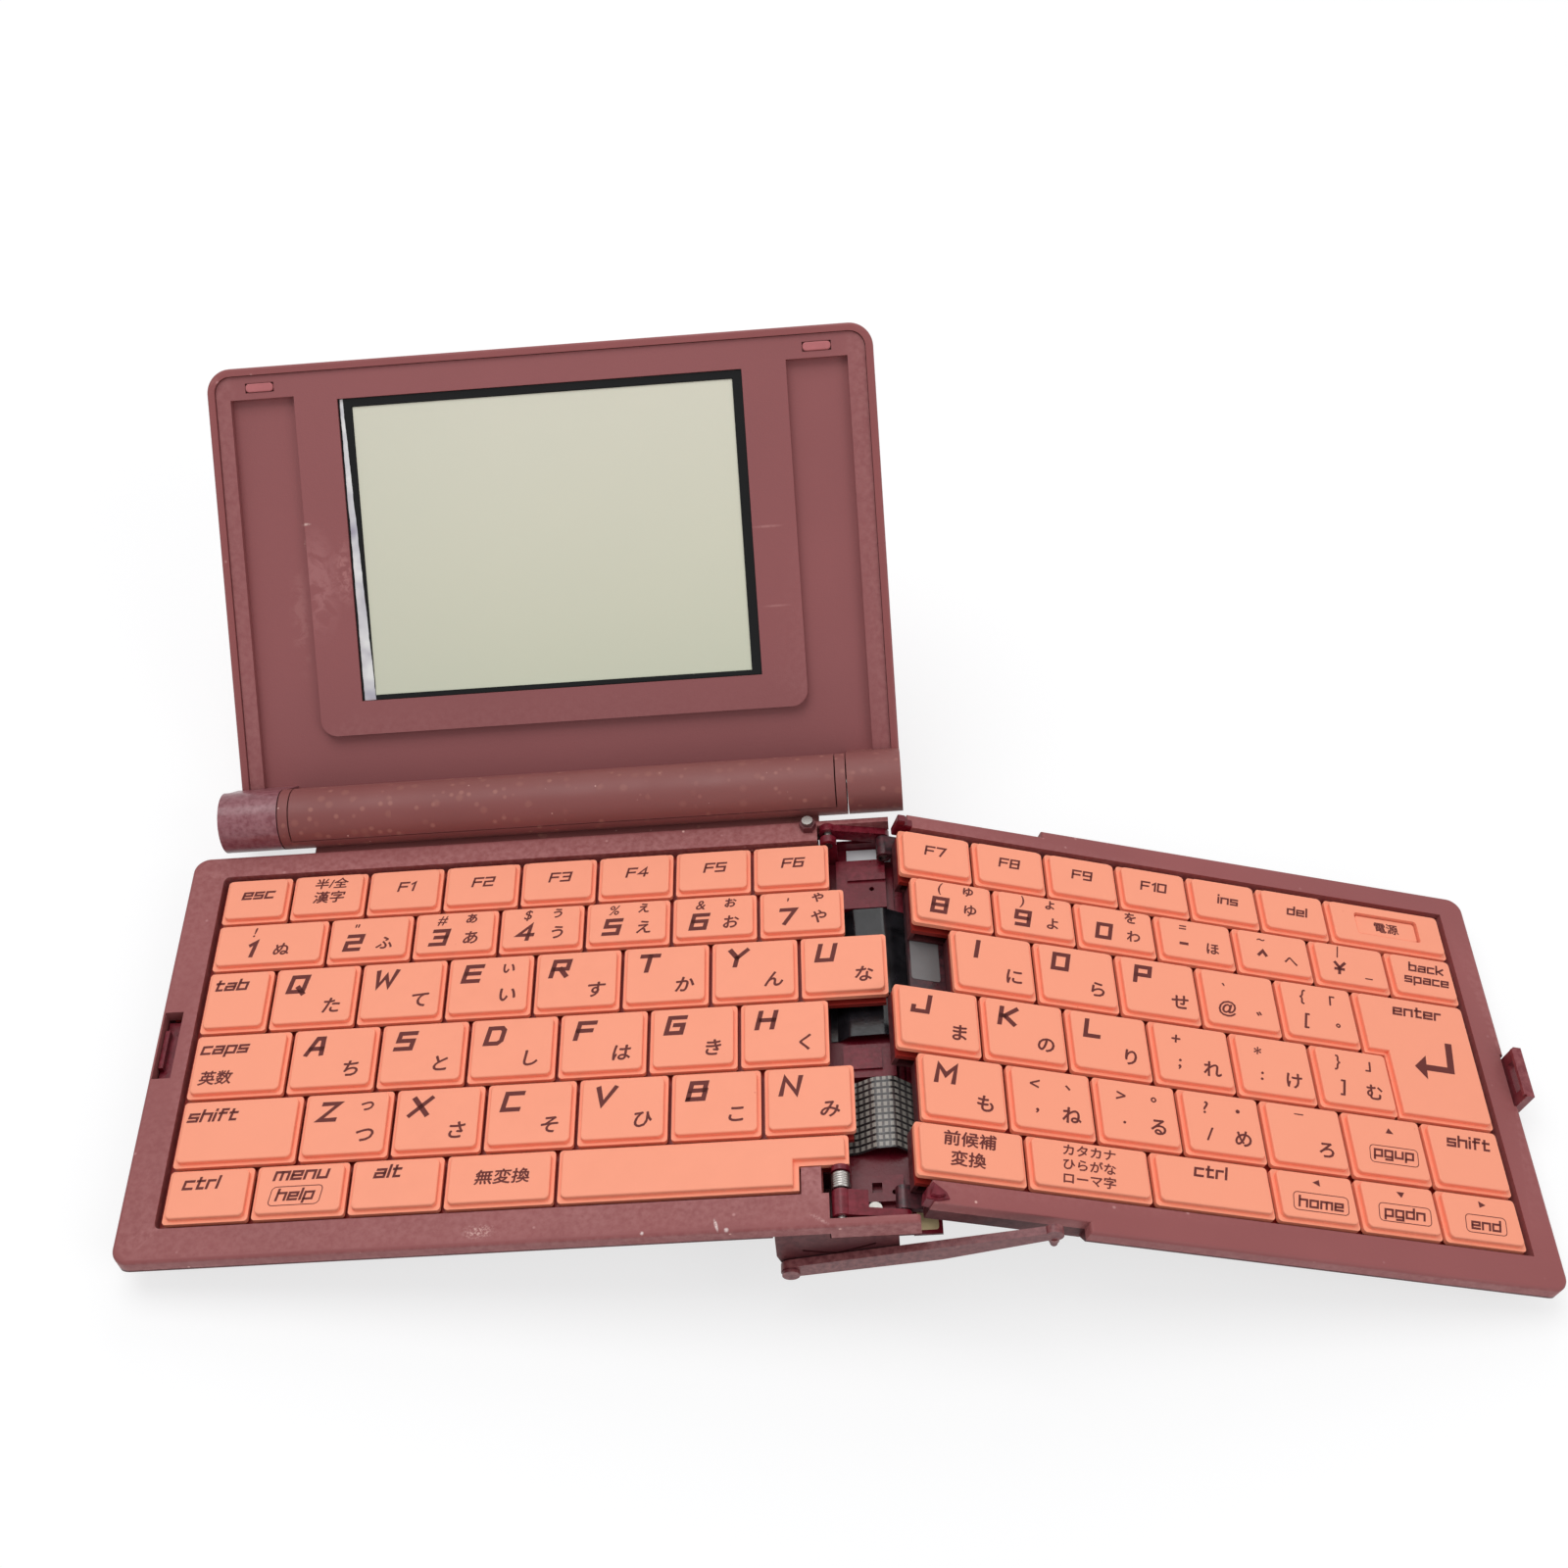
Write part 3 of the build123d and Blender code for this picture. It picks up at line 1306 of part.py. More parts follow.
def left_nodes():
    last = [len(row) - 1 for row in left_rows]
    return {
        "left_upper_frame": left_upper_frame(),
        "left_bottom_shell": left_bottom_shell(),
        "left_key_plate": left_key_plate(),
        "left_membrane": left_membrane(),
        "left_circuit_board": left_board(),
        "left_feet": left_feet(),
        "left_screws": [screw(px, py, left_depth) for px, py in left_screw_places()],
        "hinge_chassis": hinge_chassis(),
        "hinge_housing": hinge_housing(),
        "first_axis_pins": axis_1_pins(),
        "hinge_spring": hinge_spring(),
        "bay_rivets": [rear_post(), front_rivet()],
        "flat_cables": [striped_cable()] + black_flexes(),
        "blank_labels": blank_labels(),
        "latch_catch": latch_catch(),
        "battery_tube": battery_tube(),
        "battery_cover": battery_cover(),
        "battery_cells": battery_cells(),
        "battery_contacts": battery_contacts(),
        "lid_hinge_pins": lid_pins(),
        "hinge_links": [link(front_link_y()), link(rear_link_y())],
        "second_axis_pins": axis_2_pins(),
        "front_link_arm": front_arm(),
        "front_arm_pins": [arm_pivot_pin(), arm_end_pin()],
        "space_key": space_bar(),
        "left_shift_key": key_group(left_rows, 1, [0]),
        "escape_key": key_group(left_rows, 5, [0]),
        "left_keys_row_1": key_group(left_rows, 5, range(1, last[5])),
        "left_keys_row_2": key_group(left_rows, 4, range(last[4])),
        "left_keys_row_3": key_group(left_rows, 3, range(last[3])),
        "left_keys_row_4": key_group(left_rows, 2, range(last[2])),
        "left_keys_row_5": key_group(left_rows, 1, range(1, last[1])),
        "left_keys_row_6": key_group(left_rows, 0, range(4)),
    }


def right_nodes():
    last = [len(row) - 1 for row in right_rows]
    arrows = key_group(right_rows, 0, [3, 4, 5]) + key_group(right_rows, 1, [5])
    return {
        "right_upper_frame": right_upper_frame(),
        "right_bottom_shell": right_bottom_shell(),
        "right_key_plate": right_key_plate(),
        "right_membrane": right_membrane(),
        "right_circuit_board": right_board(),
        "right_feet": right_feet(),
        "right_screws": [screw(px, py, right_depth) for px, py in right_screw_places()],
        "slide_carriage": slide_carriage(),
        "latch_hook": latch_hook(),
        "enter_key": enter_key(),
        "power_surround": power_surround(),
        "power_button": power_button(),
        "arrow_keys": arrows,
        "right_keys_row_1": key_group(right_rows, 5, range(last[5] - 1)),
        "right_keys_row_2": key_group(right_rows, 4, range(last[4])),
        "right_keys_row_3": key_group(right_rows, 3, range(last[3] - 1)),
        "right_keys_row_4": key_group(right_rows, 2, range(last[2] - 1)),
        "right_keys_row_5": key_group(right_rows, 1, [0, 1, 2, 3, 4, 6]),
        "right_keys_row_6": key_group(right_rows, 0, range(3)),
    }


def lid_nodes():
    return {
        "lid_outer_shell": lid_outer_shell(),
        "lid_inner_shell": lid_inner_shell(),
        "screen_border": screen_border(),
        "screen_panel": screen_panel(),
        "lid_circuit_board": lid_board(),
        "lid_bumper_pads": lid_pads(),
        "left_hinge_knuckle": left_knuckle(),
        "right_hinge_knuckle": right_knuckle(),
    }


def as_solids(shape):
    """Every separate solid of a shape or of a list of shapes."""
    if isinstance(shape, list):
        return [solid for item in shape for solid in as_solids(item)]
    return list(shape.solids())


def assemble():
    """All nodes in one frame, with the origin under the middle of the device."""
    placed = {}
    for location, nodes in ((left_location(), left_nodes()), (right_location(), right_nodes()),
                            (lid_location(), lid_nodes())):
        for name, shape in nodes.items():
            placed[name] = [location * solid for solid in as_solids(shape)]
    box = Compound([solid for solids in placed.values() for solid in solids]).bounding_box()
    middle = Pos(-(box.min.X + box.max.X) / 2, -(box.min.Y + box.max.Y) / 2, -box.min.Z)
    return {name: [middle * solid for solid in solids] for name, solids in placed.items()}, middle


def export(nodes):
    os.makedirs("parts", exist_ok=True)
    for name, solids in nodes.items():
        shape = solids[0] if len(solids) == 1 else Compound(solids)
        export_step(shape, f"parts/{name}.step")


nodes, middle = assemble()
export(nodes)
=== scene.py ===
import json
import math

import bmesh
import bpy
from mathutils import Matrix, Vector


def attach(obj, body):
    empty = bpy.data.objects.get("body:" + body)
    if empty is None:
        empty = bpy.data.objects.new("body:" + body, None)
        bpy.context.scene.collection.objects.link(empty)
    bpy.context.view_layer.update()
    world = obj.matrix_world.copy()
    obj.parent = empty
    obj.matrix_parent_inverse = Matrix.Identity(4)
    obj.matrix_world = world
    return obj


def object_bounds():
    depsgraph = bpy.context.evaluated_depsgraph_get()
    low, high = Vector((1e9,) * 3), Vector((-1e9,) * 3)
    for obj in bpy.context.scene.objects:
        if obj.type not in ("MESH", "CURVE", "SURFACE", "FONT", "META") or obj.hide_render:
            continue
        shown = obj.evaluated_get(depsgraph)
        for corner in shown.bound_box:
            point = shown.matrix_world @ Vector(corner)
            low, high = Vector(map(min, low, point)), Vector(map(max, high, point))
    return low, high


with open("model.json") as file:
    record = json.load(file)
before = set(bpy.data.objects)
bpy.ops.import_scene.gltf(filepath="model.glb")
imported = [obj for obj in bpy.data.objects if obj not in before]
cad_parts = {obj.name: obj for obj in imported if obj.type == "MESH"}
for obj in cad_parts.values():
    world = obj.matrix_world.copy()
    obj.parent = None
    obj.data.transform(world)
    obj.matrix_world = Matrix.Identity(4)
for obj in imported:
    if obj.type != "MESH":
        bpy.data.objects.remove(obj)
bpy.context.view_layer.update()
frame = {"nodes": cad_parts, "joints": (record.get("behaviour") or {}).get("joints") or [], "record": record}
MM = 0.001
joints = {joint["name"]: joint for joint in frame["joints"]}

# Places in the two keyboard halves and in the lid, in millimetres: x to the right,
# y towards the barrel, z out of the key tops (or out of the screen).
AXIS_1 = Vector((4.0, 37.6, -2.03))
AXIS_2 = Vector((17.8, 37.6, -8.3))
LID_POINT = Vector((-50.0, 0.0, 0.0))
LID_OPEN = 135.1
POST_BASE_TOP = 0.65


def place(x_axis, y_axis, z_axis, at, local):
    """Matrix from local millimetres to the row frame."""
    turn = Matrix((x_axis, y_axis, z_axis)).transposed()
    origin = Vector(at) - turn @ (local * MM)
    return Matrix.Translation(origin) @ turn.to_4x4() @ Matrix.Scale(MM, 4)


BACK = Vector((0, 1, 0))
left_x = Vector(joints["lid_hinge"]["axis"])
if left_x.x < 0:
    left_x.negate()
left_z = -Vector(joints["space_key_press"]["axis"])
right_x = Vector(joints["half_slide"]["axis"])
right_z = -Vector(joints["enter_key_press"]["axis"])
lid_turn = math.radians(180 - LID_OPEN)
lid_y = BACK * math.cos(lid_turn) + left_z * math.sin(lid_turn)
lid_z = left_z * math.cos(lid_turn) - BACK * math.sin(lid_turn)
LEFT = place(left_x, BACK, left_z, joints["spine_fold"]["pos_m"], AXIS_1)
RIGHT = place(right_x, BACK, right_z, joints["half_fold"]["pos_m"], AXIS_2)
LID = place(left_x, lid_y, lid_z, joints["lid_hinge"]["pos_m"], LID_POINT)


# ---------------------------------------------------------------- materials
def srgb(r, g, b):
    """Linear colour of an 8-bit display colour."""
    def channel(value):
        value = value / 255
        return value / 12.92 if value <= 0.04045 else ((value + 0.055) / 1.055) ** 2.4
    return (channel(r), channel(g), channel(b), 1.0)


def shade(colour, factor):
    return tuple(min(1.0, part * factor) for part in colour[:3]) + (1.0,)


class Finish:
    """A procedural material built around one Principled shader."""

    def __init__(self, name, colour, roughness, metallic=0.0, specular=0.5, coat=0.0):
        self.material = bpy.data.materials.new(name)
        self.material.use_nodes = True
        self.tree = self.material.node_tree
        self.shader = self.tree.nodes["Principled BSDF"]
        self.shader.inputs["Roughness"].default_value = roughness
        self.shader.inputs["Metallic"].default_value = metallic
        self.shader.inputs["Specular IOR Level"].default_value = specular
        self.shader.inputs["Coat Weight"].default_value = coat
        self.place = self.tree.nodes.new("ShaderNodeTexCoord").outputs["Object"]
        self.colour = None
        self.base = colour

    def node(self, kind, **values):
        made = self.tree.nodes.new(kind)
        for name, value in values.items():
            setattr(made, name, value)
        return made

    def join(self, out, into):
        self.tree.links.new(out, into)

    def noise(self, scale, detail=4.0, rough=0.55, distortion=0.0):
        made = self.node("ShaderNodeTexNoise")
        made.inputs["Scale"].default_value = scale
        made.inputs["Detail"].default_value = detail
        made.inputs["Roughness"].default_value = rough
        made.inputs["Distortion"].default_value = distortion
        self.join(self.place, made.inputs["Vector"])
        return made.outputs["Fac"]

    def ramp(self, value, low, high, out_low=0.0, out_high=1.0):
        made = self.node("ShaderNodeMapRange")
        made.clamp = True
        made.inputs["From Min"].default_value = low
        made.inputs["From Max"].default_value = high
        made.inputs["To Min"].default_value = out_low
        made.inputs["To Max"].default_value = out_high
        self.join(value, made.inputs["Value"])
        return made.outputs["Result"]

    def maths(self, operation, first, second=None):
        made = self.node("ShaderNodeMath", operation=operation)
        for index, value in enumerate((first, second)):
            if value is None:
                continue
            if isinstance(value, (int, float)):
                made.inputs[index].default_value = value
            else:
                self.join(value, made.inputs[index])
        return made.outputs["Value"]

    def mix(self, factor, first, second):
        made = self.node("ShaderNodeMix", data_type="RGBA")
        self.join(factor, made.inputs["Factor"])
        for name, value in (("A", first), ("B", second)):
            socket = [s for s in made.inputs if s.name == name and s.type == "RGBA"][0]
            if isinstance(value, tuple):
                socket.default_value = value
            else:
                self.join(value, socket)
        return [s for s in made.outputs if s.type == "RGBA"][0]

    def mottle(self, scale, amount):
        """Slow colour change over the surface."""
        value = self.ramp(self.noise(scale, 3.0), 0.3, 0.7)
        start = self.colour if self.colour is not None else shade(self.base, 1 - amount)
        self.colour = self.mix(value, start, shade(self.base, 1 + amount))
        return self

    def cover(self, mask, colour):
        """Paints a colour over what is there, where the mask is 1."""
        start = self.colour if self.colour is not None else self.base
        self.colour = self.mix(mask, start, colour)
        return self

    def specks(self, scale, size, colour, share=0.5):
        """Dust specks of random size."""
        cells = self.node("ShaderNodeTexVoronoi")
        cells.inputs["Scale"].default_value = scale
        self.join(self.place, cells.inputs["Vector"])
        near = self.ramp(cells.outputs["Distance"], size, size * 0.45)
        chosen = self.node("ShaderNodeSeparateColor")
        self.join(cells.outputs["Color"], chosen.inputs["Color"])
        keep = self.ramp(chosen.outputs["Red"], 1 - share, 1 - share + 0.05)
        mask = self.maths("MULTIPLY", near, keep)
        return self.cover(mask, colour)

    def grain(self, scale, depth):
        """Fine moulded texture as relief."""
        bump = self.node("ShaderNodeBump")
        bump.inputs["Strength"].default_value = 1.0
        bump.inputs["Distance"].default_value = depth
        self.join(self.noise(scale, 2.0), bump.inputs["Height"])
        self.join(bump.outputs["Normal"], self.shader.inputs["Normal"])
        return self

    def sheen_change(self, scale, low, high):
        """Roughness that changes over the surface, as handling leaves it."""
        self.join(self.ramp(self.noise(scale, 5.0), 0.3, 0.7, low, high),
                  self.shader.inputs["Roughness"])
        return self

    def local(self, matrix):
        """Coordinates in a half's or the lid's own millimetres, as three sockets."""
        home, turn, scale = matrix.decompose()
        mapping = self.node("ShaderNodeMapping", vector_type="TEXTURE")
        mapping.inputs["Location"].default_value = home
        mapping.inputs["Rotation"].default_value = turn.to_euler()
        mapping.inputs["Scale"].default_value = scale
        self.join(self.place, mapping.inputs["Vector"])
        parts = self.node("ShaderNodeSeparateXYZ")
        self.join(mapping.outputs["Vector"], parts.inputs["Vector"])
        return parts.outputs["X"], parts.outputs["Y"], parts.outputs["Z"]

    def patch(self, matrix, centre, size, colour, strength=1.0, noise=500.0, cut=0.5, turn=0.0):
        """A worn or dirty patch around one place of the surface."""
        world = matrix @ Vector(centre)
        mapping = self.node("ShaderNodeMapping", vector_type="TEXTURE")
        mapping.inputs["Location"].default_value = world
        angles = (matrix.to_3x3().normalized() @ Matrix.Rotation(turn, 3, "Z")).to_euler()
        mapping.inputs["Rotation"].default_value = angles
        mapping.inputs["Scale"].default_value = tuple(part * MM for part in size)
        self.join(self.place, mapping.inputs["Vector"])
        reach = self.node("ShaderNodeVectorMath", operation="LENGTH")
        self.join(mapping.outputs["Vector"], reach.inputs[0])
        near = self.ramp(reach.outputs["Value"], 1.0, 0.35)
        broken = self.ramp(self.noise(noise, 6.0, 0.7, distortion=0.6), cut, cut + 0.12)
        mask = self.maths("MULTIPLY", near, broken)
        mask = self.maths("MULTIPLY", mask, strength)
        return self.cover(mask, colour)

    def edge_wear(self, colour, strength=0.5):
        """Paler, rubbed edges."""
        point = self.node("ShaderNodeNewGeometry").outputs["Pointiness"]
        sharp = self.ramp(point, 0.53, 0.62)
        broken = self.ramp(self.noise(900.0, 4.0), 0.35, 0.65)
        mask = self.maths("MULTIPLY", self.maths("MULTIPLY", sharp, broken), strength)
        return self.cover(mask, colour)

    def done(self):
        """The material, with the painted colour wired in."""
        self.join(self.colour, self.shader.inputs["Base Color"])
        return self.material


MAROON = srgb(147, 84, 84)
MAROON_PALE = srgb(196, 138, 136)
DUST = srgb(224, 178, 168)

body = Finish("body_maroon", MAROON, 0.48, specular=0.22)
body.mottle(26.0, 0.07).sheen_change(60.0, 0.38, 0.54)
body.specks(430.0, 0.17, srgb(182, 128, 126), 0.12)
body.specks(210.0, 0.07, DUST, 0.16)
for centre, size, turn in (((-18.0, -6.6, -0.9), (0.35, 1.5, 1.5), 0.25),
                           ((-16.2, -7.6, -0.9), (0.5, 0.45, 1.5), 0.0),
                           ((-31.0, -7.4, -0.9), (0.4, 0.4, 1.5), 0.0)):
    body.patch(LEFT, centre, size, srgb(236, 214, 210), 0.9, 2500.0, 0.36, turn)
body.patch(LEFT, (-60.0, -5.4, -0.9), (3.4, 1.7, 1.5), srgb(222, 180, 172), 0.75, 2200.0, 0.48)
body.patch(LEFT, (0.0, -6.4, -0.9), (2.4, 0.5, 1.5), srgb(205, 160, 155), 0.6, 2500.0, 0.45, -0.6)
body.edge_wear(MAROON_PALE, 0.45).grain(2600.0, 0.00002)
body = body.done()

shell = Finish("shell_dark_maroon", srgb(74, 31, 35), 0.45, specular=0.25)
shell.mottle(30.0, 0.12).sheen_change(70.0, 0.38, 0.55).specks(300.0, 0.08, srgb(140, 84, 84), 0.12)
shell = shell.edge_wear(srgb(130, 72, 72), 0.4).grain(2200.0, 0.00003).done()

lid_inner = Finish("lid_inner_maroon", srgb(148, 88, 89), 0.52, specular=0.28)
lid_inner.mottle(14.0, 0.06).sheen_change(45.0, 0.42, 0.6)
lid_inner.patch(LID, (-99.0, 48.0, -10.0), (5.0, 13.0, 3.0), srgb(176, 118, 118), 0.6, 260.0, 0.42)
lid_inner.patch(LID, (-93.5, 50.0, -10.0), (2.6, 8.0, 3.0), srgb(190, 132, 130), 0.5, 700.0, 0.46)
lid_inner.patch(LID, (-101.0, 60.5, -10.2), (1.6, 0.35, 3.0), srgb(214, 178, 170), 0.9, 1500.0, 0.35)
lid_inner.patch(LID, (-101.6, 56.5, -10.2), (0.5, 1.6, 3.0), srgb(214, 170, 160), 0.9, 1600.0, 0.45)
lid_inner.patch(LID, (-104.0, 41.0, -12.0), (2.5, 14.0, 3.0), srgb(172, 116, 114), 0.45, 300.0, 0.45)
lid_inner.patch(LID, (-4.6, 53.4, -10.2), (3.6, 0.35, 3.0), srgb(180, 124, 122), 0.7, 900.0, 0.35)
lid_inner.patch(LID, (-3.8, 37.0, -10.2), (3.3, 0.3, 3.0), srgb(180, 124, 122), 0.6, 900.0, 0.35)
lid_inner.edge_wear(srgb(178, 122, 120), 0.35).grain(3000.0, 0.000025)
lid_inner = lid_inner.done()

barrel = Finish("barrel_maroon", srgb(132, 76, 74), 0.46, specular=0.3)
barrel.mottle(40.0, 0.06).sheen_change(90.0, 0.4, 0.56)
barrel.specks(420.0, 0.42, srgb(144, 88, 82), 0.34)
barrel.specks(560.0, 0.36, srgb(156, 100, 92), 0.2)
barrel.specks(330.0, 0.2, srgb(168, 112, 102), 0.16)
barrel.specks(700.0, 0.16, DUST, 0.07)
along_barrel = barrel.local(LEFT)[0]
barrel.cover(barrel.ramp(along_barrel, -60.0, 0.0, 0.0, 0.3), srgb(146, 92, 88))
barrel = barrel.grain(1800.0, 0.00003).done()

knuckle = Finish("cap_glossy_maroon", srgb(120, 62, 70), 0.3, specular=0.45, coat=0.1)
knuckle.mottle(60.0, 0.1).sheen_change(120.0, 0.26, 0.4)
knuckle.specks(500.0, 0.1, srgb(170, 118, 122), 0.1)
knuckle = knuckle.edge_wear(srgb(170, 120, 126), 0.5).grain(1500.0, 0.00002).done()

KEY = srgb(255, 161, 130)
key = Finish("key_salmon", KEY, 0.5, specular=0.25)
key.mottle(18.0, 0.03).mottle(220.0, 0.015)
key.specks(260.0, 0.05, srgb(226, 120, 96), 0.12)
key = key.sheen_change(80.0, 0.42, 0.56).grain(4200.0, 0.000015).done()

key_plate = Finish("plate_red", srgb(150, 42, 34), 0.4, specular=0.4)
key_plate = key_plate.mottle(60.0, 0.2).grain(1500.0, 0.00003).done()

crimson = Finish("hinge_crimson", srgb(98, 10, 27), 0.28, specular=0.35, coat=0.05)
crimson.mottle(90.0, 0.18).sheen_change(150.0, 0.22, 0.4)
crimson.specks(420.0, 0.1, srgb(150, 70, 78), 0.08)
crimson = crimson.edge_wear(srgb(150, 50, 66), 0.4).grain(1600.0, 0.00003).done()

pad = Finish("pad_pink_rubber", srgb(186, 110, 112), 0.55, specular=0.3)
pad = pad.mottle(200.0, 0.08).grain(5000.0, 0.00002).done()

foot = Finish("foot_rubber", srgb(44, 38, 38), 0.85, specular=0.2)
foot = foot.mottle(120.0, 0.2).specks(400.0, 0.12, srgb(90, 82, 80), 0.2).grain(2600.0, 0.00004).done()

steel = Finish("bright_steel", srgb(156, 152, 148), 0.28, metallic=1.0)
steel = steel.mottle(300.0, 0.12).sheen_change(500.0, 0.2, 0.4).grain(3500.0, 0.00001).done()

stamped = Finish("carriage_dark_maroon", srgb(44, 26, 30), 0.3, specular=0.5)
stamped.mottle(120.0, 0.2).sheen_change(300.0, 0.24, 0.42)
stamped = stamped.edge_wear(srgb(120, 50, 60), 0.5).grain(2500.0, 0.00002).done()

laminate = Finish("board_green", srgb(38, 92, 58), 0.4)
laminate.mottle(150.0, 0.25).specks(260.0, 0.22, srgb(190, 170, 100), 0.3)
laminate = laminate.grain(900.0, 0.00003).done()

cell = Finish("cell_case", srgb(86, 90, 100), 0.35, metallic=0.8)
cell = cell.mottle(60.0, 0.15).grain(900.0, 0.00002).done()

label = Finish("bare_label", srgb(222, 222, 224), 0.5)
label = label.mottle(70.0, 0.05).specks(300.0, 0.08, srgb(170, 165, 160), 0.1).grain(3000.0, 0.00001).done()

legend = Finish("legend_brown", srgb(104, 48, 44), 0.6, specular=0.2)
legend = legend.mottle(120.0, 0.06).grain(3000.0, 0.00001).done()


# Places of painted details and of a painted reflection, in the millimetres of the half or lid they are on.
STRIPE_RATE = 0.72           # conductors per millimetre of cable
DASH_RATE = 0.9              # dark dashes per millimetre along a conductor
RIBBON_END = 28.0            # where the striped ribbon gives way to black film
GLARE_SPAN = (24.0, 86.0)     # foot and top of the wedge of painted glare
GLARE_LEFT = (-91.5, -91.6)   # its left edge there
GLARE_RIGHT = (-89.15, -91.0)
GLARE_STOP = -89.05
POST_FRONT = 50.0            # only the rear stop post lies behind this


def cable_material():
    """Grey striped ribbon in front, glossy black films behind it."""
    finish = Finish("cable_film", srgb(20, 19, 22), 0.2, specular=0.6)
    x, y = finish.local(LEFT)[:2]
    wave = finish.maths("FRACT", finish.maths("MULTIPLY", y, STRIPE_RATE))
    conductor = finish.ramp(finish.maths("ABSOLUTE", finish.maths("SUBTRACT", wave, 0.5)), 0.36, 0.28)
    hole = finish.ramp(finish.maths("FRACT", finish.maths("MULTIPLY", x, DASH_RATE)), 0.52, 0.62)
    stripes = finish.mix(conductor, srgb(40, 36, 38), srgb(156, 150, 142))
    stripes = finish.mix(finish.maths("MULTIPLY", hole, conductor), stripes, srgb(84, 78, 76))
    black = finish.mix(finish.ramp(finish.noise(300.0, 3.0), 0.35, 0.7), srgb(14, 13, 16), srgb(40, 38, 42))
    finish.colour = finish.mix(finish.ramp(y, RIBBON_END + 0.5, RIBBON_END - 0.5), black, stripes)
    return finish.grain(1200.0, 0.00002).done()


def screen_material():
    """Unlit reflective liquid-crystal panel: pale grey-green, lighter at the top."""
    finish = Finish("screen_lcd", srgb(222, 222, 202), 0.34, specular=0.25)
    x, y = finish.local(LID)[:2]
    finish.colour = finish.mix(finish.ramp(y, 24.0, 84.0), srgb(217, 219, 196), srgb(228, 225, 206))
    finish.cover(finish.ramp(x, -60.0, -89.0, 0.0, 0.3), srgb(212, 212, 192))
    finish.cover(finish.ramp(finish.noise(16.0, 3.0), 0.35, 0.7, 0.0, 0.25), srgb(214, 216, 198))
    return finish.grain(4000.0, 0.000004).done()


def border_material():
    """Black display frame with a painted reflection down its left side: a wedge of white glare painted into
    its colour.
    """
    finish = Finish("screen_border_black", srgb(9, 9, 11), 0.3, specular=0.2)
    finish.mottle(60.0, 0.3)
    x, y = finish.local(LID)[:2]
    # Painted glare: a ragged wedge of white reflection down the left side of the frame, painted into the
    # colour.
    ragged = finish.ramp(finish.noise(300.0, 2.0), 0.3, 0.7, -0.08, 0.08)
    left_edge = finish.maths("ADD", finish.ramp(y, *GLARE_SPAN, *GLARE_LEFT), ragged)
    right_edge = finish.maths("ADD", finish.ramp(y, *GLARE_SPAN, *GLARE_RIGHT), ragged)
    inside = finish.maths("MULTIPLY", finish.maths("GREATER_THAN", x, left_edge),
                          finish.maths("LESS_THAN", x, right_edge))
    glare_mask = finish.maths("MULTIPLY", inside, finish.maths("LESS_THAN", x, GLARE_STOP))
    cloud = finish.ramp(finish.noise(90.0, 3.0), 0.4, 0.62)
    # Colours of the painted glare: white, clouded with pale blue-grey.
    foil_and_glare = finish.mix(cloud, srgb(240, 240, 238), srgb(176, 172, 186))
    finish.cover(glare_mask, foil_and_glare)
    return finish.grain(900.0, 0.000005).done()


def rivet_material():
    """Bright steel, with the base of the rear stop post in maroon plastic."""
    finish = Finish("rivet_steel", srgb(150, 146, 142), 0.3, specular=0.5)
    finish.mottle(300.0, 0.12)
    y, z = finish.local(LEFT)[1:]
    is_base = finish.maths("MULTIPLY", finish.maths("GREATER_THAN", y, POST_FRONT),
                           finish.maths("LESS_THAN", z, POST_BASE_TOP))
    finish.cover(is_base, srgb(96, 44, 48))
    finish.join(finish.ramp(is_base, 0.0, 1.0, 1.0, 0.0), finish.shader.inputs["Metallic"])
    return finish.grain(3500.0, 0.00001).done()


cables = cable_material()
screen = screen_material()
border = border_material()
rivet = rivet_material()

finish_of = {
    "body_plastic": body, "shell_plastic": shell, "lid_inner_plastic": lid_inner,
    "key_plastic": key, "plate_plastic": key_plate, "membrane_rubber": key_plate,
    "chassis_plastic": crimson, "steel": steel, "carriage_paint": stamped, "foot_rubber": foot,
    "pad_rubber": pad, "board_laminate": laminate, "cell_metal": cell, "spring_steel": steel,
    "cable_film": cables, "label_paper": label, "barrel_plastic": barrel,
    "screen_frame": border, "screen_glass": screen, "knuckle_plastic": knuckle,
}
for part in frame["record"]["subparts"]:
    mesh = frame["nodes"][part["node"]].data
    mesh.materials.clear()
    mesh.materials.append(finish_of[part["material_slot"]])
hinge_rod = Finish("arm_dark_red", srgb(98, 38, 44), 0.4, specular=0.5)
hinge_rod.mottle(60.0, 0.15).specks(300.0, 0.16, srgb(176, 120, 116), 0.25)
hinge_rod = hinge_rod.edge_wear(srgb(160, 100, 98), 0.6).grain(1500.0, 0.00004).done()
hook_finish = Finish("hook_dark_red", srgb(118, 40, 48), 0.36, specular=0.4)
hook_finish = hook_finish.mottle(90.0, 0.12).edge_wear(srgb(160, 90, 92), 0.5).grain(1600.0, 0.00003).done()
for node, finish in (("front_link_arm", hinge_rod), ("front_arm_pins", hinge_rod),
                     ("latch_hook", hook_finish), ("bay_rivets", rivet)):
    frame["nodes"][node].data.materials.clear()
    frame["nodes"][node].data.materials.append(finish)


# ---------------------------------------------------------------- pieces
def add_piece(name, mesh, material, body_name):
    """Object of a finished mesh that rides on a body."""
    mesh.materials.append(material)
    made = bpy.data.objects.new(name, mesh)
    bpy.context.scene.collection.objects.link(made)
    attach(made, body_name)


def add_mesh(name, matrix, points, faces, material, body_name):
    """Piece made of points in local millimetres."""
    mesh = bpy.data.meshes.new(name)
    mesh.from_pydata([matrix @ Vector(point) for point in points], [], faces)
    add_piece(name, mesh, material, body_name)


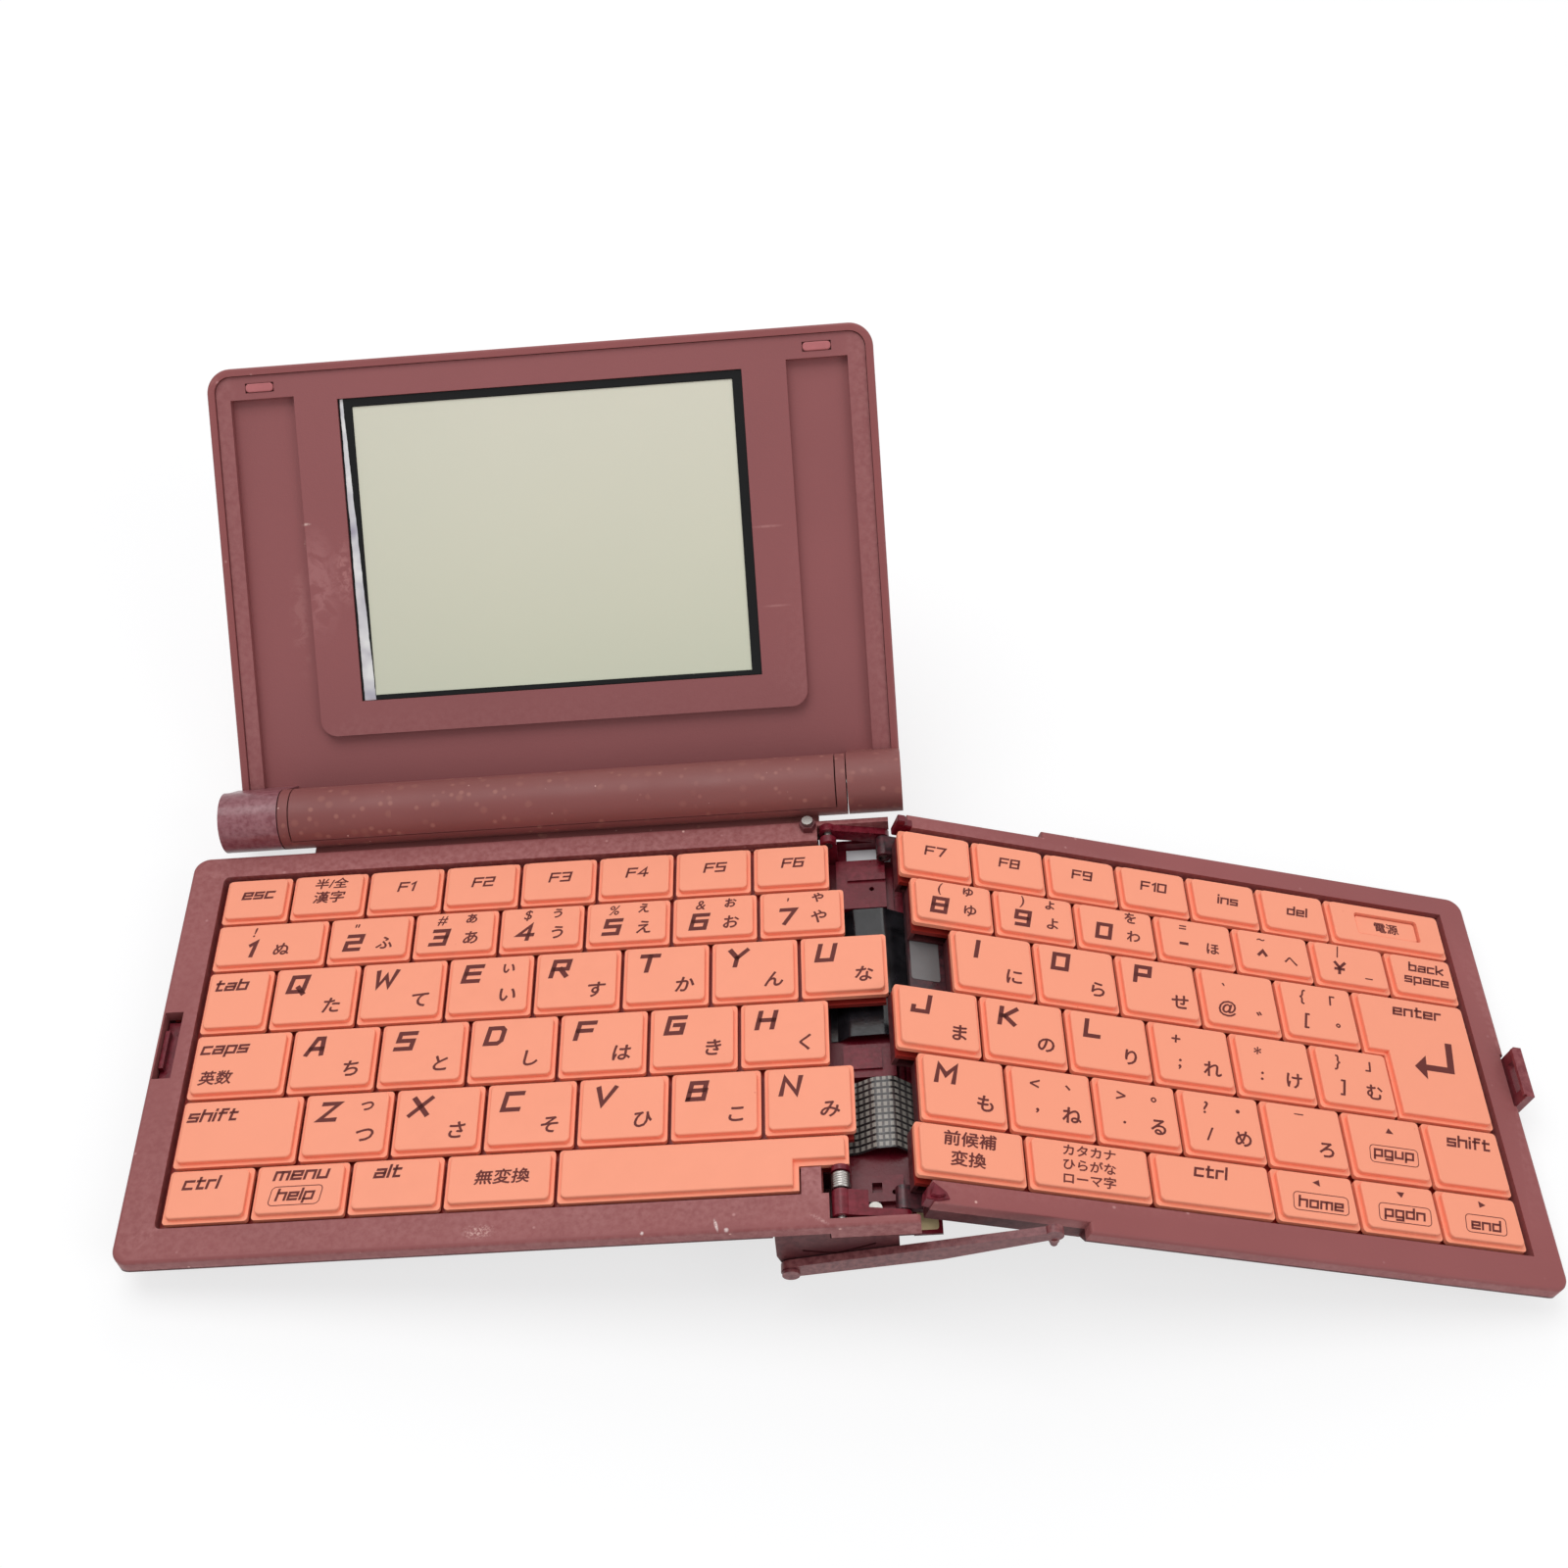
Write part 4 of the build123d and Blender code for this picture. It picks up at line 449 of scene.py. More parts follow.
def rounded(x, y, radius, steps=4):
    """Outline of a rectangle with rounded corners."""
    points = []
    for corner, (sx, sy) in enumerate(((1, 1), (0, 1), (0, 0), (1, 0))):
        cx = x[sx] + (radius if sx == 0 else -radius)
        cy = y[sy] + (radius if sy == 0 else -radius)
        for step in range(steps + 1):
            angle = math.radians(90 * corner + 90 * step / steps)
            points.append((cx + radius * math.cos(angle), cy + radius * math.sin(angle)))
    return points


def slab(name, matrix, layers, edge, material, body_name):
    """Small moulded piece of stacked layers (outline, lowest and highest z) with softened edges."""
    work = bmesh.new()
    for outline, z in layers:
        low = [work.verts.new((px, py, z[0])) for px, py in outline]
        high = [work.verts.new((px, py, z[1])) for px, py in outline]
        work.faces.new(list(reversed(low)))
        top = work.faces.new(high)
        for index in range(len(outline)):
            after = (index + 1) % len(outline)
            work.faces.new((low[index], low[after], high[after], high[index]))
        bmesh.ops.bevel(work, geom=list(top.edges), offset=edge, segments=2, affect="EDGES")
    bmesh.ops.transform(work, matrix=matrix, verts=work.verts)
    mesh = bpy.data.meshes.new(name)
    work.to_mesh(mesh)
    work.free()
    add_piece(name, mesh, material, body_name)


# ---------------------------------------------------------------- small pieces in the hinge bay
CARRIAGE_TOP = -6.9
SHELF_TOP = -8.9
LABEL_OUTLINE = rounded((21.6, 27.4), (45.4, 55.6), 0.6)
STICKER_OUTLINE = rounded((17.0, 20.8), (-5.4, -1.0), 0.5)
REAR_LUG_OUTLINE = rounded((18.2, 21.6), (77.8, 79.6), 0.3)
REAR_TOOTH_OUTLINE = rounded((18.2, 19.9), (77.8, 79.6), 0.3)
BROKEN_OUTLINE = [(19.2, -5.4), (21.4, -5.6), (23.6, -4.9), (23.1, -3.6), (22.1, -3.1), (21.3, -2.4),
                  (20.7, -1.8), (20.1, -2.9), (19.5, -3.2)]
BROKEN_TIP_OUTLINE = [(px * 0.6 + 8.5, py * 0.6 - 1.6) for px, py in BROKEN_OUTLINE]
foil_and_glare = Finish("bare_foil_label", srgb(118, 116, 116), 0.4, specular=0.3)
foil_and_glare = foil_and_glare.mottle(160.0, 0.08).specks(500.0, 0.1, srgb(120, 116, 112), 0.12).grain(2500.0, 0.00001).done()
aged = Finish("aged_label", srgb(212, 192, 146), 0.6)
aged = aged.mottle(240.0, 0.1).specks(420.0, 0.2, srgb(150, 118, 84), 0.25).grain(2500.0, 0.00002).done()
slab("carriage_label", RIGHT, [(LABEL_OUTLINE, (CARRIAGE_TOP, CARRIAGE_TOP + 0.09))],
     0.03, foil_and_glare, "carriage")
slab("shelf_sticker", LEFT, [(STICKER_OUTLINE, (SHELF_TOP, SHELF_TOP + 0.08))],
     0.02, aged, "left_half")
slab("rear_corner_lug", RIGHT, [(REAR_LUG_OUTLINE, (-4.0, -0.6)), (REAR_TOOTH_OUTLINE, (-0.9, 0.5))],
     0.15, crimson, "right_half")
slab("front_corner_lug", RIGHT, [(BROKEN_OUTLINE, (-3.4, -0.6)), (BROKEN_TIP_OUTLINE, (-0.7, 0.1))],
     0.12, crimson, "right_half")

# ---------------------------------------------------------------- legends
LEGEND_LIFT = 0.03
LATIN_SLANT = 0.22
KANA_SLANT = 0.14
BOLD_HALF = 0.8              # half the width of a stroke, in sixths of the letter height
WORD_HALF = 0.66
SPREAD = ((1, 0), (-1, 0), (0, 1), (0, -1))
LAYER_STEP = 0.002           # height between the layers of a bold text
LETTER_SPACE = 2.0
glyph_store = {}

# Squared Latin letters as strokes on a grid: capitals are 6 high, small letters 4.
STROKES = {
    "A": "0,0 2,6 4,6 5,0 | 0.8,2 4.6,2", "B": "0,0 0,6 4.7,6 4.7,3.2 0,3.2 | 4.7,3.2 5,3.2 5,0 0,0",
    "C": "5,6 0,6 0,0 5,0", "D": "0,0 0,6 4,6 5,5 5,1 4,0 0,0", "E": "5,6 0,6 0,0 5,0 | 0,3.1 4.6,3.1",
    "F": "5,6 0,6 0,0 | 0,3 4.4,3", "G": "5,6 0,6 0,0 5,0 5,3.1 2.4,3.1", "H": "0,0 0,6 | 5,0 5,6 | 0,3 5,3",
    "I": "0,0 0,6", "J": "5,6 5,0 0,0 0,1.6", "K": "0,0 0,6 | 5,6 1.4,3 5,0 | 0,3 1.4,3",
    "L": "0,6 0,0 4.6,0", "M": "0,0 0,6 2.9,2.4 5.8,6 5.8,0", "N": "0,0 0,6 5,0 5,6",
    "O": "0,0 0,6 5,6 5,0 0,0", "P": "0,0 0,6 5,6 5,2.6 0,2.6", "Q": "0,0 0,6 5,6 5,0 0,0 | 3,1.6 5.2,-0.8",
    "R": "0,0 0,6 5,6 5,2.8 0,2.8 | 2.6,2.8 5,0", "S": "5,6 0,6 0,3.1 5,3.1 5,0 0,0",
    "T": "0,6 5.4,6 | 2.7,6 2.7,0", "U": "0,6 0,0 5,0 5,6", "V": "0,6 2.5,0 5.4,6",
    "W": "0,6 1.3,0 3.2,4.4 5.1,0 6.4,6", "X": "0,0 5.4,6 | 0,6 5.4,0", "Y": "0,6 2.7,3 5.4,6 | 2.7,3 2.7,0",
    "Z": "0,6 5,6 0,0 5,0",
    "0": "0,0 0,6 5,6 5,0 0,0", "1": "0.4,4.8 2,6 2,0", "2": "0,6 5,6 5,3.1 0,3.1 0,0 5,0",
    "3": "0,6 5,6 5,0 0,0 | 1,3.1 5,3.1", "4": "3.8,0 3.8,6 0,1.8 5.2,1.8",
    "5": "5,6 0,6 0,3.2 5,3.2 5,0 0,0", "6": "5,6 0,6 0,0 5,0 5,3.2 0,3.2", "7": "0,6 5,6 2.4,0",
    "8": "0,0 0,6 5,6 5,0 0,0 | 0,3.1 5,3.1", "9": "5,3 0,3 0,6 5,6 5,0 0.6,0",
    "-": "0,3 3,3", "^": "0,3.6 1.8,6 3.6,3.6", "¥": "0,6 2.4,3.2 4.8,6 | 2.4,3.2 2.4,0 | 0.4,2.4 4.4,2.4",
    "a": "0.5,4 4.4,4 4.4,0 0,0 0,2.1 4.4,2.1", "b": "0,6 0,0 4.4,0 4.4,4 0,4", "c": "4,4 0,4 0,0 4,0",
    "d": "4.4,6 4.4,0 0,0 0,4 4.4,4", "e": "4.4,0 0,0 0,4 4.4,4 4.4,2 0,2", "f": "3.6,6 1,6 1,0 | 0,4 3.2,4",
    "g": "4.4,0 0,0 0,4 4.4,4 4.4,-1.8 0.6,-1.8", "h": "0,6 0,0 | 0,4 4.4,4 4.4,0",
    "i": "0,4 0,0 | 0,5.9 0,6.1",
    "k": "0,6 0,0 | 4.2,4 1.2,2 4.2,0 | 0,2 1.2,2", "l": "0,6 0,0", "m": "0,0 0,4 6.4,4 6.4,0 | 3.2,4 3.2,0",
    "n": "0,0 0,4 4.4,4 4.4,0", "o": "0,0 0,4 4.4,4 4.4,0 0,0", "p": "0,-1.8 0,4 4.4,4 4.4,0 0,0",
    "r": "0,0 0,4 3,4", "s": "4.2,4 0,4 0,2 4.2,2 4.2,0 0,0", "t": "0.9,5.6 0.9,0 3.4,0 | 0,4 3.2,4",
    "u": "0,4 0,0 4.4,0 4.4,4",
}


def stroke_points(letter):
    """Strokes of one letter as lists of 2-D points."""
    return [[Vector([float(part) for part in pair.split(",")]) for pair in line.split()]
            for line in STROKES[letter].split("|")]


def ribbon(points, half):
    """Left and right edges of a stroke with mitred corners."""
    closed = points[0] == points[-1]
    count = len(points)
    left, right = [], []
    for index, point in enumerate(points):
        before = points[index - 1] if index else (points[-2] if closed else None)
        after = points[index + 1] if index < count - 1 else (points[1] if closed else None)
        ways = []
        if before is not None:
            ways.append((point - before).normalized())
        if after is not None:
            ways.append((after - point).normalized())
        sides = [Vector((-way.y, way.x)) for way in ways]
        if len(sides) == 1:
            end = -ways[0] if before is None else ways[0]
            corner, middle = sides[0] * half, point + end * half
        else:
            half_way = (sides[0] + sides[1]).normalized()
            reach = min(2.0, 1 / max(0.2, half_way.dot(sides[0])))
            corner, middle = half_way * half * reach, point
        left.append(middle + corner)
        right.append(middle - corner)
    return left, right


def glyph(text):
    """Outline mesh of a text at size 1, centred on its own box."""
    if text in glyph_store:
        return glyph_store[text]
    curve = bpy.data.curves.new("glyph", "FONT")
    curve.body = text
    curve.resolution_u = 3
    curve.space_line = 0.92
    curve.align_x = "CENTER"
    holder = bpy.data.objects.new("glyph", curve)
    bpy.context.scene.collection.objects.link(holder)
    bpy.context.view_layer.update()
    mesh = bpy.data.meshes.new_from_object(
        holder.evaluated_get(bpy.context.evaluated_depsgraph_get()))
    points = [tuple(vertex.co) for vertex in mesh.vertices]
    faces = [tuple(polygon.vertices) for polygon in mesh.polygons]
    bpy.data.objects.remove(holder)
    bpy.data.curves.remove(curve)
    bpy.data.meshes.remove(mesh)
    middle_x = (min(p[0] for p in points) + max(p[0] for p in points)) / 2
    middle_y = (min(p[1] for p in points) + max(p[1] for p in points)) / 2
    moved = [(p[0] - middle_x, p[1] - middle_y) for p in points]
    glyph_store[text] = (moved, faces)
    return glyph_store[text]


class Legends:
    """All the legends of one key body, in one mesh."""

    def __init__(self):
        self.points = []
        self.faces = []

    def text(self, text, x, y, size, z=0.0, wide=1.0, weight=0.0, slant=KANA_SLANT):
        """Text made bolder by laying it down four times, a little apart."""
        points, faces = glyph(text)
        for layer, (side, rise) in enumerate(SPREAD):
            start = len(self.points)
            shift_x, shift_y, up = x + size * weight * side, y + size * weight * rise, z + LAYER_STEP * layer
            for px, py in points:
                self.points.append((shift_x + size * (px * wide + py * slant), shift_y + size * py,
                                    up + LEGEND_LIFT))
            self.faces += [tuple(index + start for index in face) for face in faces]

    def latin(self, text, x, y, unit):
        """Squared italic word centred on a place; unit is a sixth of the capital height."""
        letters = [stroke_points(letter) for letter in text]
        widths = [max(point.x for line in lines for point in line) for lines in letters]
        rise = 2.0 if text.islower() and not any(c in "bdfhklti" for c in text) else 3.0
        half = BOLD_HALF if len(text) == 1 else WORD_HALF
        pen = -(sum(widths) + LETTER_SPACE * (len(text) - 1)) / 2
        for lines, width in zip(letters, widths):
            for line in lines:
                left, right = ribbon(line, half)
                start = len(self.points)
                for point in left + right:
                    px, py = point.x + pen, point.y - rise
                    self.points.append((x + unit * (px + py * LATIN_SLANT), y + unit * py, LEGEND_LIFT))
                count = len(left)
                self.faces += [(start + count + i, start + count + i + 1, start + i + 1, start + i)
                               for i in range(count - 1)]
            pen += width + LETTER_SPACE

    def polygon(self, outline):
        start = len(self.points)
        self.points += [(px, py, LEGEND_LIFT) for px, py in outline]
        self.faces.append(tuple(range(start, start + len(outline))))

    def ring(self, x, y, width, height, radius, line):
        """Rounded box drawn with a thin line, slanted like the letters."""
        def outline(inset):
            points = []
            for corner, (sx, sy) in enumerate(((1, 1), (-1, 1), (-1, -1), (1, -1))):
                cx = sx * (width / 2 - radius)
                cy = sy * (height / 2 - radius)
                for step in range(5):
                    angle = math.radians(90 * corner + 22.5 * step)
                    px = cx + (radius - inset) * math.cos(angle)
                    py = cy + (radius - inset) * math.sin(angle)
                    points.append((x + px + py * KANA_SLANT, y + py, LEGEND_LIFT))
            return points
        outer, inner = outline(0.0), outline(line)
        start = len(self.points)
        count = len(outer)
        self.points += outer + inner
        for index in range(count):
            after = (index + 1) % count
            self.faces.append((start + index, start + after, start + count + after, start + count + index))


LETTER_SIZE = 5.0
DIGIT_SIZE = 4.7
SIGN_SIZE = 3.1
KANA_SIZE = 3.9
SMALL_KANA_SIZE = 3.0
WORD_SIZE = 3.3
FUNCTION_SIZE = 2.9
SIGN_WEIGHT = 0.01
KANA_WEIGHT = 0.022
SMALL_WEIGHT = 0.024
LATIN_UNIT = 0.113           # stroke grid step of a letter of size 1
INNER = 1.0                  # from the edge of a key's cell to its top
POWER_TOP = -0.5             # top of the recessed power button
BOX_HEIGHT = 3.9
BOX_RADIUS = 0.9
BOX_LINE = 0.16

# Places on a key top: right of its left edge, in front of its rear edge.
LETTER_AT = (4.2, 3.7)
KANA_AT = (11.3, 9.0)
SMALL_KANA_AT = (11.2, 2.9)
DIGIT_AT = (4.6, 5.9)
DIGIT_SIGN_AT = (4.9, 1.9)
DIGIT_SMALL_AT = (10.7, 1.7)
DIGIT_KANA_X = 10.8
HIGH_SIGN_AT = (4.3, 3.2)
LOW_SIGN_AT = (4.3, 8.9)
SIGN_KANA_AT = (11.0, 9.0)
SIGN_SMALL_AT = (10.8, 3.2)

LETTER_PITCH = 17.05
LEFT_START = -118.0
RIGHT_END = 138.0
row_edges = [-1.0]
for pitch in (11.4, 14.6, 14.6, 14.6, 11.4, 11.4):
    row_edges.append(row_edges[-1] + pitch)
left_rows = [
    [LEFT_START, -101.8, -84.3, -67.0, -46.7, 6.0],
    [LEFT_START] + [-94.8 + LETTER_PITCH * i for i in range(7)],
    [LEFT_START] + [-99.1 + LETTER_PITCH * i for i in range(7)],
    [LEFT_START] + [-104.6 + LETTER_PITCH * i for i in range(8)],
    [LEFT_START] + [-95.3 + LETTER_PITCH * i for i in range(7)],
    [LEFT_START] + [-104.2 + 15.5 * i for i in range(8)],
]
right_rows = [
    [17.6, 38.7, 62.7, 86.7, 103.8, 120.6, RIGHT_END],
    [19.2 + 17.0 * i for i in range(7)] + [RIGHT_END],
    [15.4 + 17.0 * i for i in range(7)] + [RIGHT_END],
    [27.5 + LETTER_PITCH * i for i in range(6)] + [RIGHT_END],
    [20.2 + LETTER_PITCH * i for i in range(7)] + [RIGHT_END],
    [18.2 + 15.5 * i for i in range(7)] + [RIGHT_END],
]


def spot(rows, row, column, offset):
    """Place on a key top, measured from its left and rear edges."""
    return rows[row][column] + INNER + offset[0], row_edges[row + 1] - INNER - offset[1]


def middle(rows, row, column, offset):
    """Place on a key top, measured from its middle line and its rear edge."""
    left, right = rows[row][column] + INNER, rows[row][column + 1] - INNER
    return (left + right) / 2 + offset[0], row_edges[row + 1] - INNER - offset[1]


def latin(group, text, at, size):
    group.latin(text, at[0], at[1], size * LATIN_UNIT)


def word(group, rows, row, column, text, offset, size=WORD_SIZE):
    latin(group, text, spot(rows, row, column, offset), size)


def kanji(group, rows, row, column, text, offset, size, wide):
    """Japanese word centred across a key top."""
    group.text(text, *middle(rows, row, column, offset), size, wide=wide, weight=KANA_WEIGHT)


def letter_key(group, rows, row, column, letter, kana, small=""):
    latin(group, letter, spot(rows, row, column, LETTER_AT), LETTER_SIZE)
    group.text(kana, *spot(rows, row, column, KANA_AT), KANA_SIZE, weight=KANA_WEIGHT)
    if small:
        group.text(small, *spot(rows, row, column, SMALL_KANA_AT), SMALL_KANA_SIZE + 0.3,
                   weight=SMALL_WEIGHT)


def digit_key(group, rows, column, face, size, kana_size, kana_drop, shift=0.0):
    """Key of the digit row: digit and sign on the left, kana on the right."""
    def at(offset):
        return spot(rows, 4, column, (offset[0] + shift, offset[1]))
    digit, sign, kana, small = face
    latin(group, digit, at(DIGIT_AT), size)
    if sign:
        group.text(sign, *at(DIGIT_SIGN_AT), SIGN_SIZE, weight=SIGN_WEIGHT, slant=LATIN_SLANT)
    group.text(kana, *at((DIGIT_KANA_X, kana_drop)), kana_size, weight=KANA_WEIGHT)
    if small:
        group.text(small, *at(DIGIT_SMALL_AT), SMALL_KANA_SIZE, weight=SMALL_WEIGHT)


def sign_key(group, rows, row, column, low_sign, high_sign, kana, small=""):
    """Punctuation key: two signs on the left, kana on the right."""
    group.text(high_sign, *spot(rows, row, column, HIGH_SIGN_AT), SIGN_SIZE + 0.6, weight=0.014,
               slant=LATIN_SLANT)
    group.text(low_sign, *spot(rows, row, column, LOW_SIGN_AT), SIGN_SIZE + 0.8, weight=0.018,
               slant=LATIN_SLANT)
    group.text(kana, *spot(rows, row, column, SIGN_KANA_AT), KANA_SIZE, weight=KANA_WEIGHT)
    if small:
        group.text(small, *spot(rows, row, column, SIGN_SMALL_AT), SMALL_KANA_SIZE + 0.4,
                   weight=KANA_WEIGHT)


def boxed(group, text, at, width):
    """Small word in a rounded box; letters with a tail sit a little higher."""
    lift = 0.25 if "p" in text or "g" in text else 0.0
    latin(group, text, (at[0], at[1] + lift), WORD_SIZE - 0.3)
    group.ring(*at, width, BOX_HEIGHT, BOX_RADIUS, BOX_LINE)


def arrow(group, at, turn):
    """Small solid triangle."""
    points = []
    for angle in (90, 210, 330):
        direction = math.radians(angle + turn)
        points.append((at[0] + 0.95 * math.cos(direction), at[1] + 0.8 * math.sin(direction)))
    group.polygon(points)


def return_arrow(group, at):
    """Plain bent return arrow."""
    outline = [(3.2, 4.2), (3.2, -1.6), (-1.4, -1.6), (-1.4, 0.5), (-4.0, -2.3), (-1.4, -5.1),
               (-1.4, -3.0), (4.7, -3.0), (4.7, 4.2)]
    group.polygon([(at[0] + px + py * KANA_SLANT, at[1] + py) for px, py in reversed(outline)])


legends = {}


def group_of(body_name):
    return legends.setdefault(body_name, Legends())


def left_legends():
    word(group_of("escape_key_body"), left_rows, 5, 0, "esc", (6.3, 4.0), FUNCTION_SIZE + 0.3)
    group = group_of("left_keys_row_1_body")
    kanji(group, left_rows, 5, 1, "半/全", (0.5, 2.1), 2.7, 1.1)
    kanji(group, left_rows, 5, 1, "漢字", (0.3, 5.5), 3.0, 1.08)
    for index in range(6):
        word(group, left_rows, 5, index + 2, f"F{index + 1}", (7.2, 4.1), FUNCTION_SIZE)
    group = group_of("left_keys_row_2_body")
    digits = (("1", "!", "ぬ", ""), ("2", "\"", "ふ", ""), ("3", "#", "あ", "ぁ"), ("4", "$", "う", "ぅ"),
              ("5", "%", "え", "ぇ"), ("6", "&", "お", "ぉ"), ("7", "'", "や", "ゃ"))
    for column, face in enumerate(digits):
        digit_key(group, left_rows, column, face, DIGIT_SIZE, 3.4, 6.3, 0.0 if column else 2.2)
    group = group_of("left_keys_row_3_body")
    word(group, left_rows, 3, 0, "tab", (4.4, 2.9))
    letters = (("Q", "た", ""), ("W", "て", ""), ("E", "い", "ぃ"), ("R", "す", ""),
               ("T", "か", ""), ("Y", "ん", ""), ("U", "な", ""))
    for column, (letter, kana, small) in enumerate(letters):
        letter_key(group, left_rows, 3, column + 1, letter, kana, small)
    group = group_of("left_keys_row_4_body")
    word(group, left_rows, 2, 0, "caps", (5.4, 3.2))
    group.text("英数", *spot(left_rows, 2, 0, (4.6, 9.4)), 3.2, weight=KANA_WEIGHT)
    letters = (("A", "ち"), ("S", "と"), ("D", "し"), ("F", "は"), ("G", "き"), ("H", "く"))
    for column, (letter, kana) in enumerate(letters):
        letter_key(group, left_rows, 2, column + 1, letter, kana)
    word(group_of("left_shift_key_body"), left_rows, 1, 0, "shift", (5.6, 3.0))
    group = group_of("left_keys_row_5_body")
    letters = (("Z", "つ", "っ"), ("X", "さ", ""), ("C", "そ", ""), ("V", "ひ", ""),
               ("B", "こ", ""), ("N", "み", ""))
    for column, (letter, kana, small) in enumerate(letters):
        letter_key(group, left_rows, 1, column + 1, letter, kana, small)
    group = group_of("left_keys_row_6_body")
    word(group, left_rows, 0, 0, "ctrl", (5.8, 2.5))
    word(group, left_rows, 0, 1, "menu", (7.8, 2.0))
    boxed(group, "help", spot(left_rows, 0, 1, (7.2, 6.1)), 9.4)
    word(group, left_rows, 0, 2, "alt", (6.2, 2.2))
    kanji(group, left_rows, 0, 3, "無変換", (0.6, 4.5), 3.1, 1.08)


def right_legends():
    group = group_of("right_keys_row_1_body")
    for index in range(4):
        word(group, right_rows, 5, index, f"F{index + 7}", (6.6, 4.1), FUNCTION_SIZE)
    for column, text in ((4, "ins"), (5, "del")):
        word(group, right_rows, 5, column, text, (7.4, 4.4), FUNCTION_SIZE)
    group_of("power_button_body").text("電源", *middle(right_rows, 5, 6, (0.0, 4.7)), 2.7, z=POWER_TOP,
                                       wide=1.05, weight=KANA_WEIGHT, slant=0.0)
    group = group_of("right_keys_row_2_body")
    digits = (("8", "(", "ゆ", "ゅ"), ("9", ")", "よ", "ょ"), ("0", "", "わ", "を"),
              ("-", "=", "ほ", ""), ("^", "~", "へ", ""), ("¥", "|", "_", ""))
    for column, face in enumerate(digits):
        size = DIGIT_SIZE - (1.0 if column > 2 else 0.0)
        digit_key(group, right_rows, column, face, size, 3.1, 7.6 if face[2] == "_" else 6.2)
    latin(group, "back", middle(right_rows, 4, 6, (1.0, 2.6)), FUNCTION_SIZE)
    latin(group, "space", middle(right_rows, 4, 6, (0.4, 5.9)), FUNCTION_SIZE)
    group = group_of("right_keys_row_3_body")
    for column, (letter, kana) in enumerate((("I", "に"), ("O", "ら"), ("P", "せ"))):
        letter_key(group, right_rows, 3, column, letter, kana)
    sign_key(group, right_rows, 3, 3, "@", "`", "゛")
    sign_key(group, right_rows, 3, 4, "[", "{", "゜", "「")
    group = group_of("right_keys_row_4_body")
    for column, (letter, kana) in enumerate((("J", "ま"), ("K", "の"), ("L", "り"))):
        letter_key(group, right_rows, 2, column, letter, kana)
    sign_key(group, right_rows, 2, 3, ";", "+", "れ")
    sign_key(group, right_rows, 2, 4, ":", "*", "け")
    sign_key(group, right_rows, 2, 5, "]", "}", "む", "」")
    group = group_of("right_keys_row_5_body")
    letter_key(group, right_rows, 1, 0, "M", "も")
    sign_key(group, right_rows, 1, 1, ",", "<", "ね", "、")
    sign_key(group, right_rows, 1, 2, ".", ">", "る", "。")
    sign_key(group, right_rows, 1, 3, "/", "?", "め", "・")
    group.text("_", *spot(right_rows, 1, 4, (6.6, 1.9)), 3.6, weight=SIGN_WEIGHT)
    group.text("ろ", *spot(right_rows, 1, 4, SIGN_KANA_AT), KANA_SIZE, weight=KANA_WEIGHT)
    word(group, right_rows, 1, 6, "shift", (8.2, 3.0))
    group = group_of("arrow_keys_body")
    arrow(group, spot(right_rows, 1, 5, (8.3, 3.0)), 0)
    boxed(group, "pgup", spot(right_rows, 1, 5, (8.2, 8.2)), 10.2)
    for column, text, turn, width in ((3, "home", 90, 11.2), (4, "pgdn", 180, 10.8), (5, "end", -90, 8.6)):
        arrow(group, spot(right_rows, 0, column, (8.0, 1.8)), turn)
        boxed(group, text, spot(right_rows, 0, column, (8.0, 6.0)), width)
    group = group_of("right_keys_row_6_body")
    kanji(group, right_rows, 0, 0, "前候補", (-0.2, 2.4), 3.2, 1.05)
    kanji(group, right_rows, 0, 0, "変換", (-0.8, 6.4), 3.2, 1.05)
    for line, text in enumerate(("カタカナ", "ひらがな", "ローマ字")):
        kanji(group, right_rows, 0, 1, text, (-0.3 * line, 1.7 + 2.9 * line), 2.5, 1.05)
    latin(group, "ctrl", middle(right_rows, 0, 2, (-0.4, 2.4)), WORD_SIZE)
    group = group_of("enter_key_body")
    word(group, right_rows, 3, 5, "enter", (12.65, 2.8))
    return_arrow(group, spot(right_rows, 3, 5, (13.45, 13.6)))


left_legends()
right_legends()
for body_name, group in legends.items():
    home = LEFT if body_name.startswith(("left", "escape")) else RIGHT
    add_mesh("legends_" + body_name.replace("_body", ""), home, group.points, group.faces, legend,
             body_name)


# ---------------------------------------------------------------- stage
AMBIENT_STRENGTH = 0.42
FLOOR_GLOW = 1.12
FLOOR_GLOW_SHARE = 0.62
FLOOR_REACH = 3.0
FLOOR_DROP = 0.0002
CAMERA_LENS = 47.25
CAMERA_SENSOR = 36.0
CAMERA_PLACE = (-0.038348, -0.258939, 0.34824)
CAMERA_TURN = (0.706906, -0.065198, -0.015768)


def light(name, location, target, size, power):
    data = bpy.data.lights.new(name, "AREA")
    data.shape = "DISK"
    data.size = size
    data.energy = power
    made = bpy.data.objects.new(name, data)
    made.location = location
    made.rotation_euler = (Vector(target) - Vector(location)).to_track_quat("-Z", "Y").to_euler()
    bpy.context.scene.collection.objects.link(made)


light("key_light", (-0.35, 0.15, 1.15), (0, 0, 0), 0.9, 6.4)
light("fill_light", (0.75, -0.65, 0.75), (0, 0, 0.02), 0.8, 2.9)
light("rear_light", (0.1, 1.0, 0.8), (0, 0, 0.03), 0.8, 2.2)


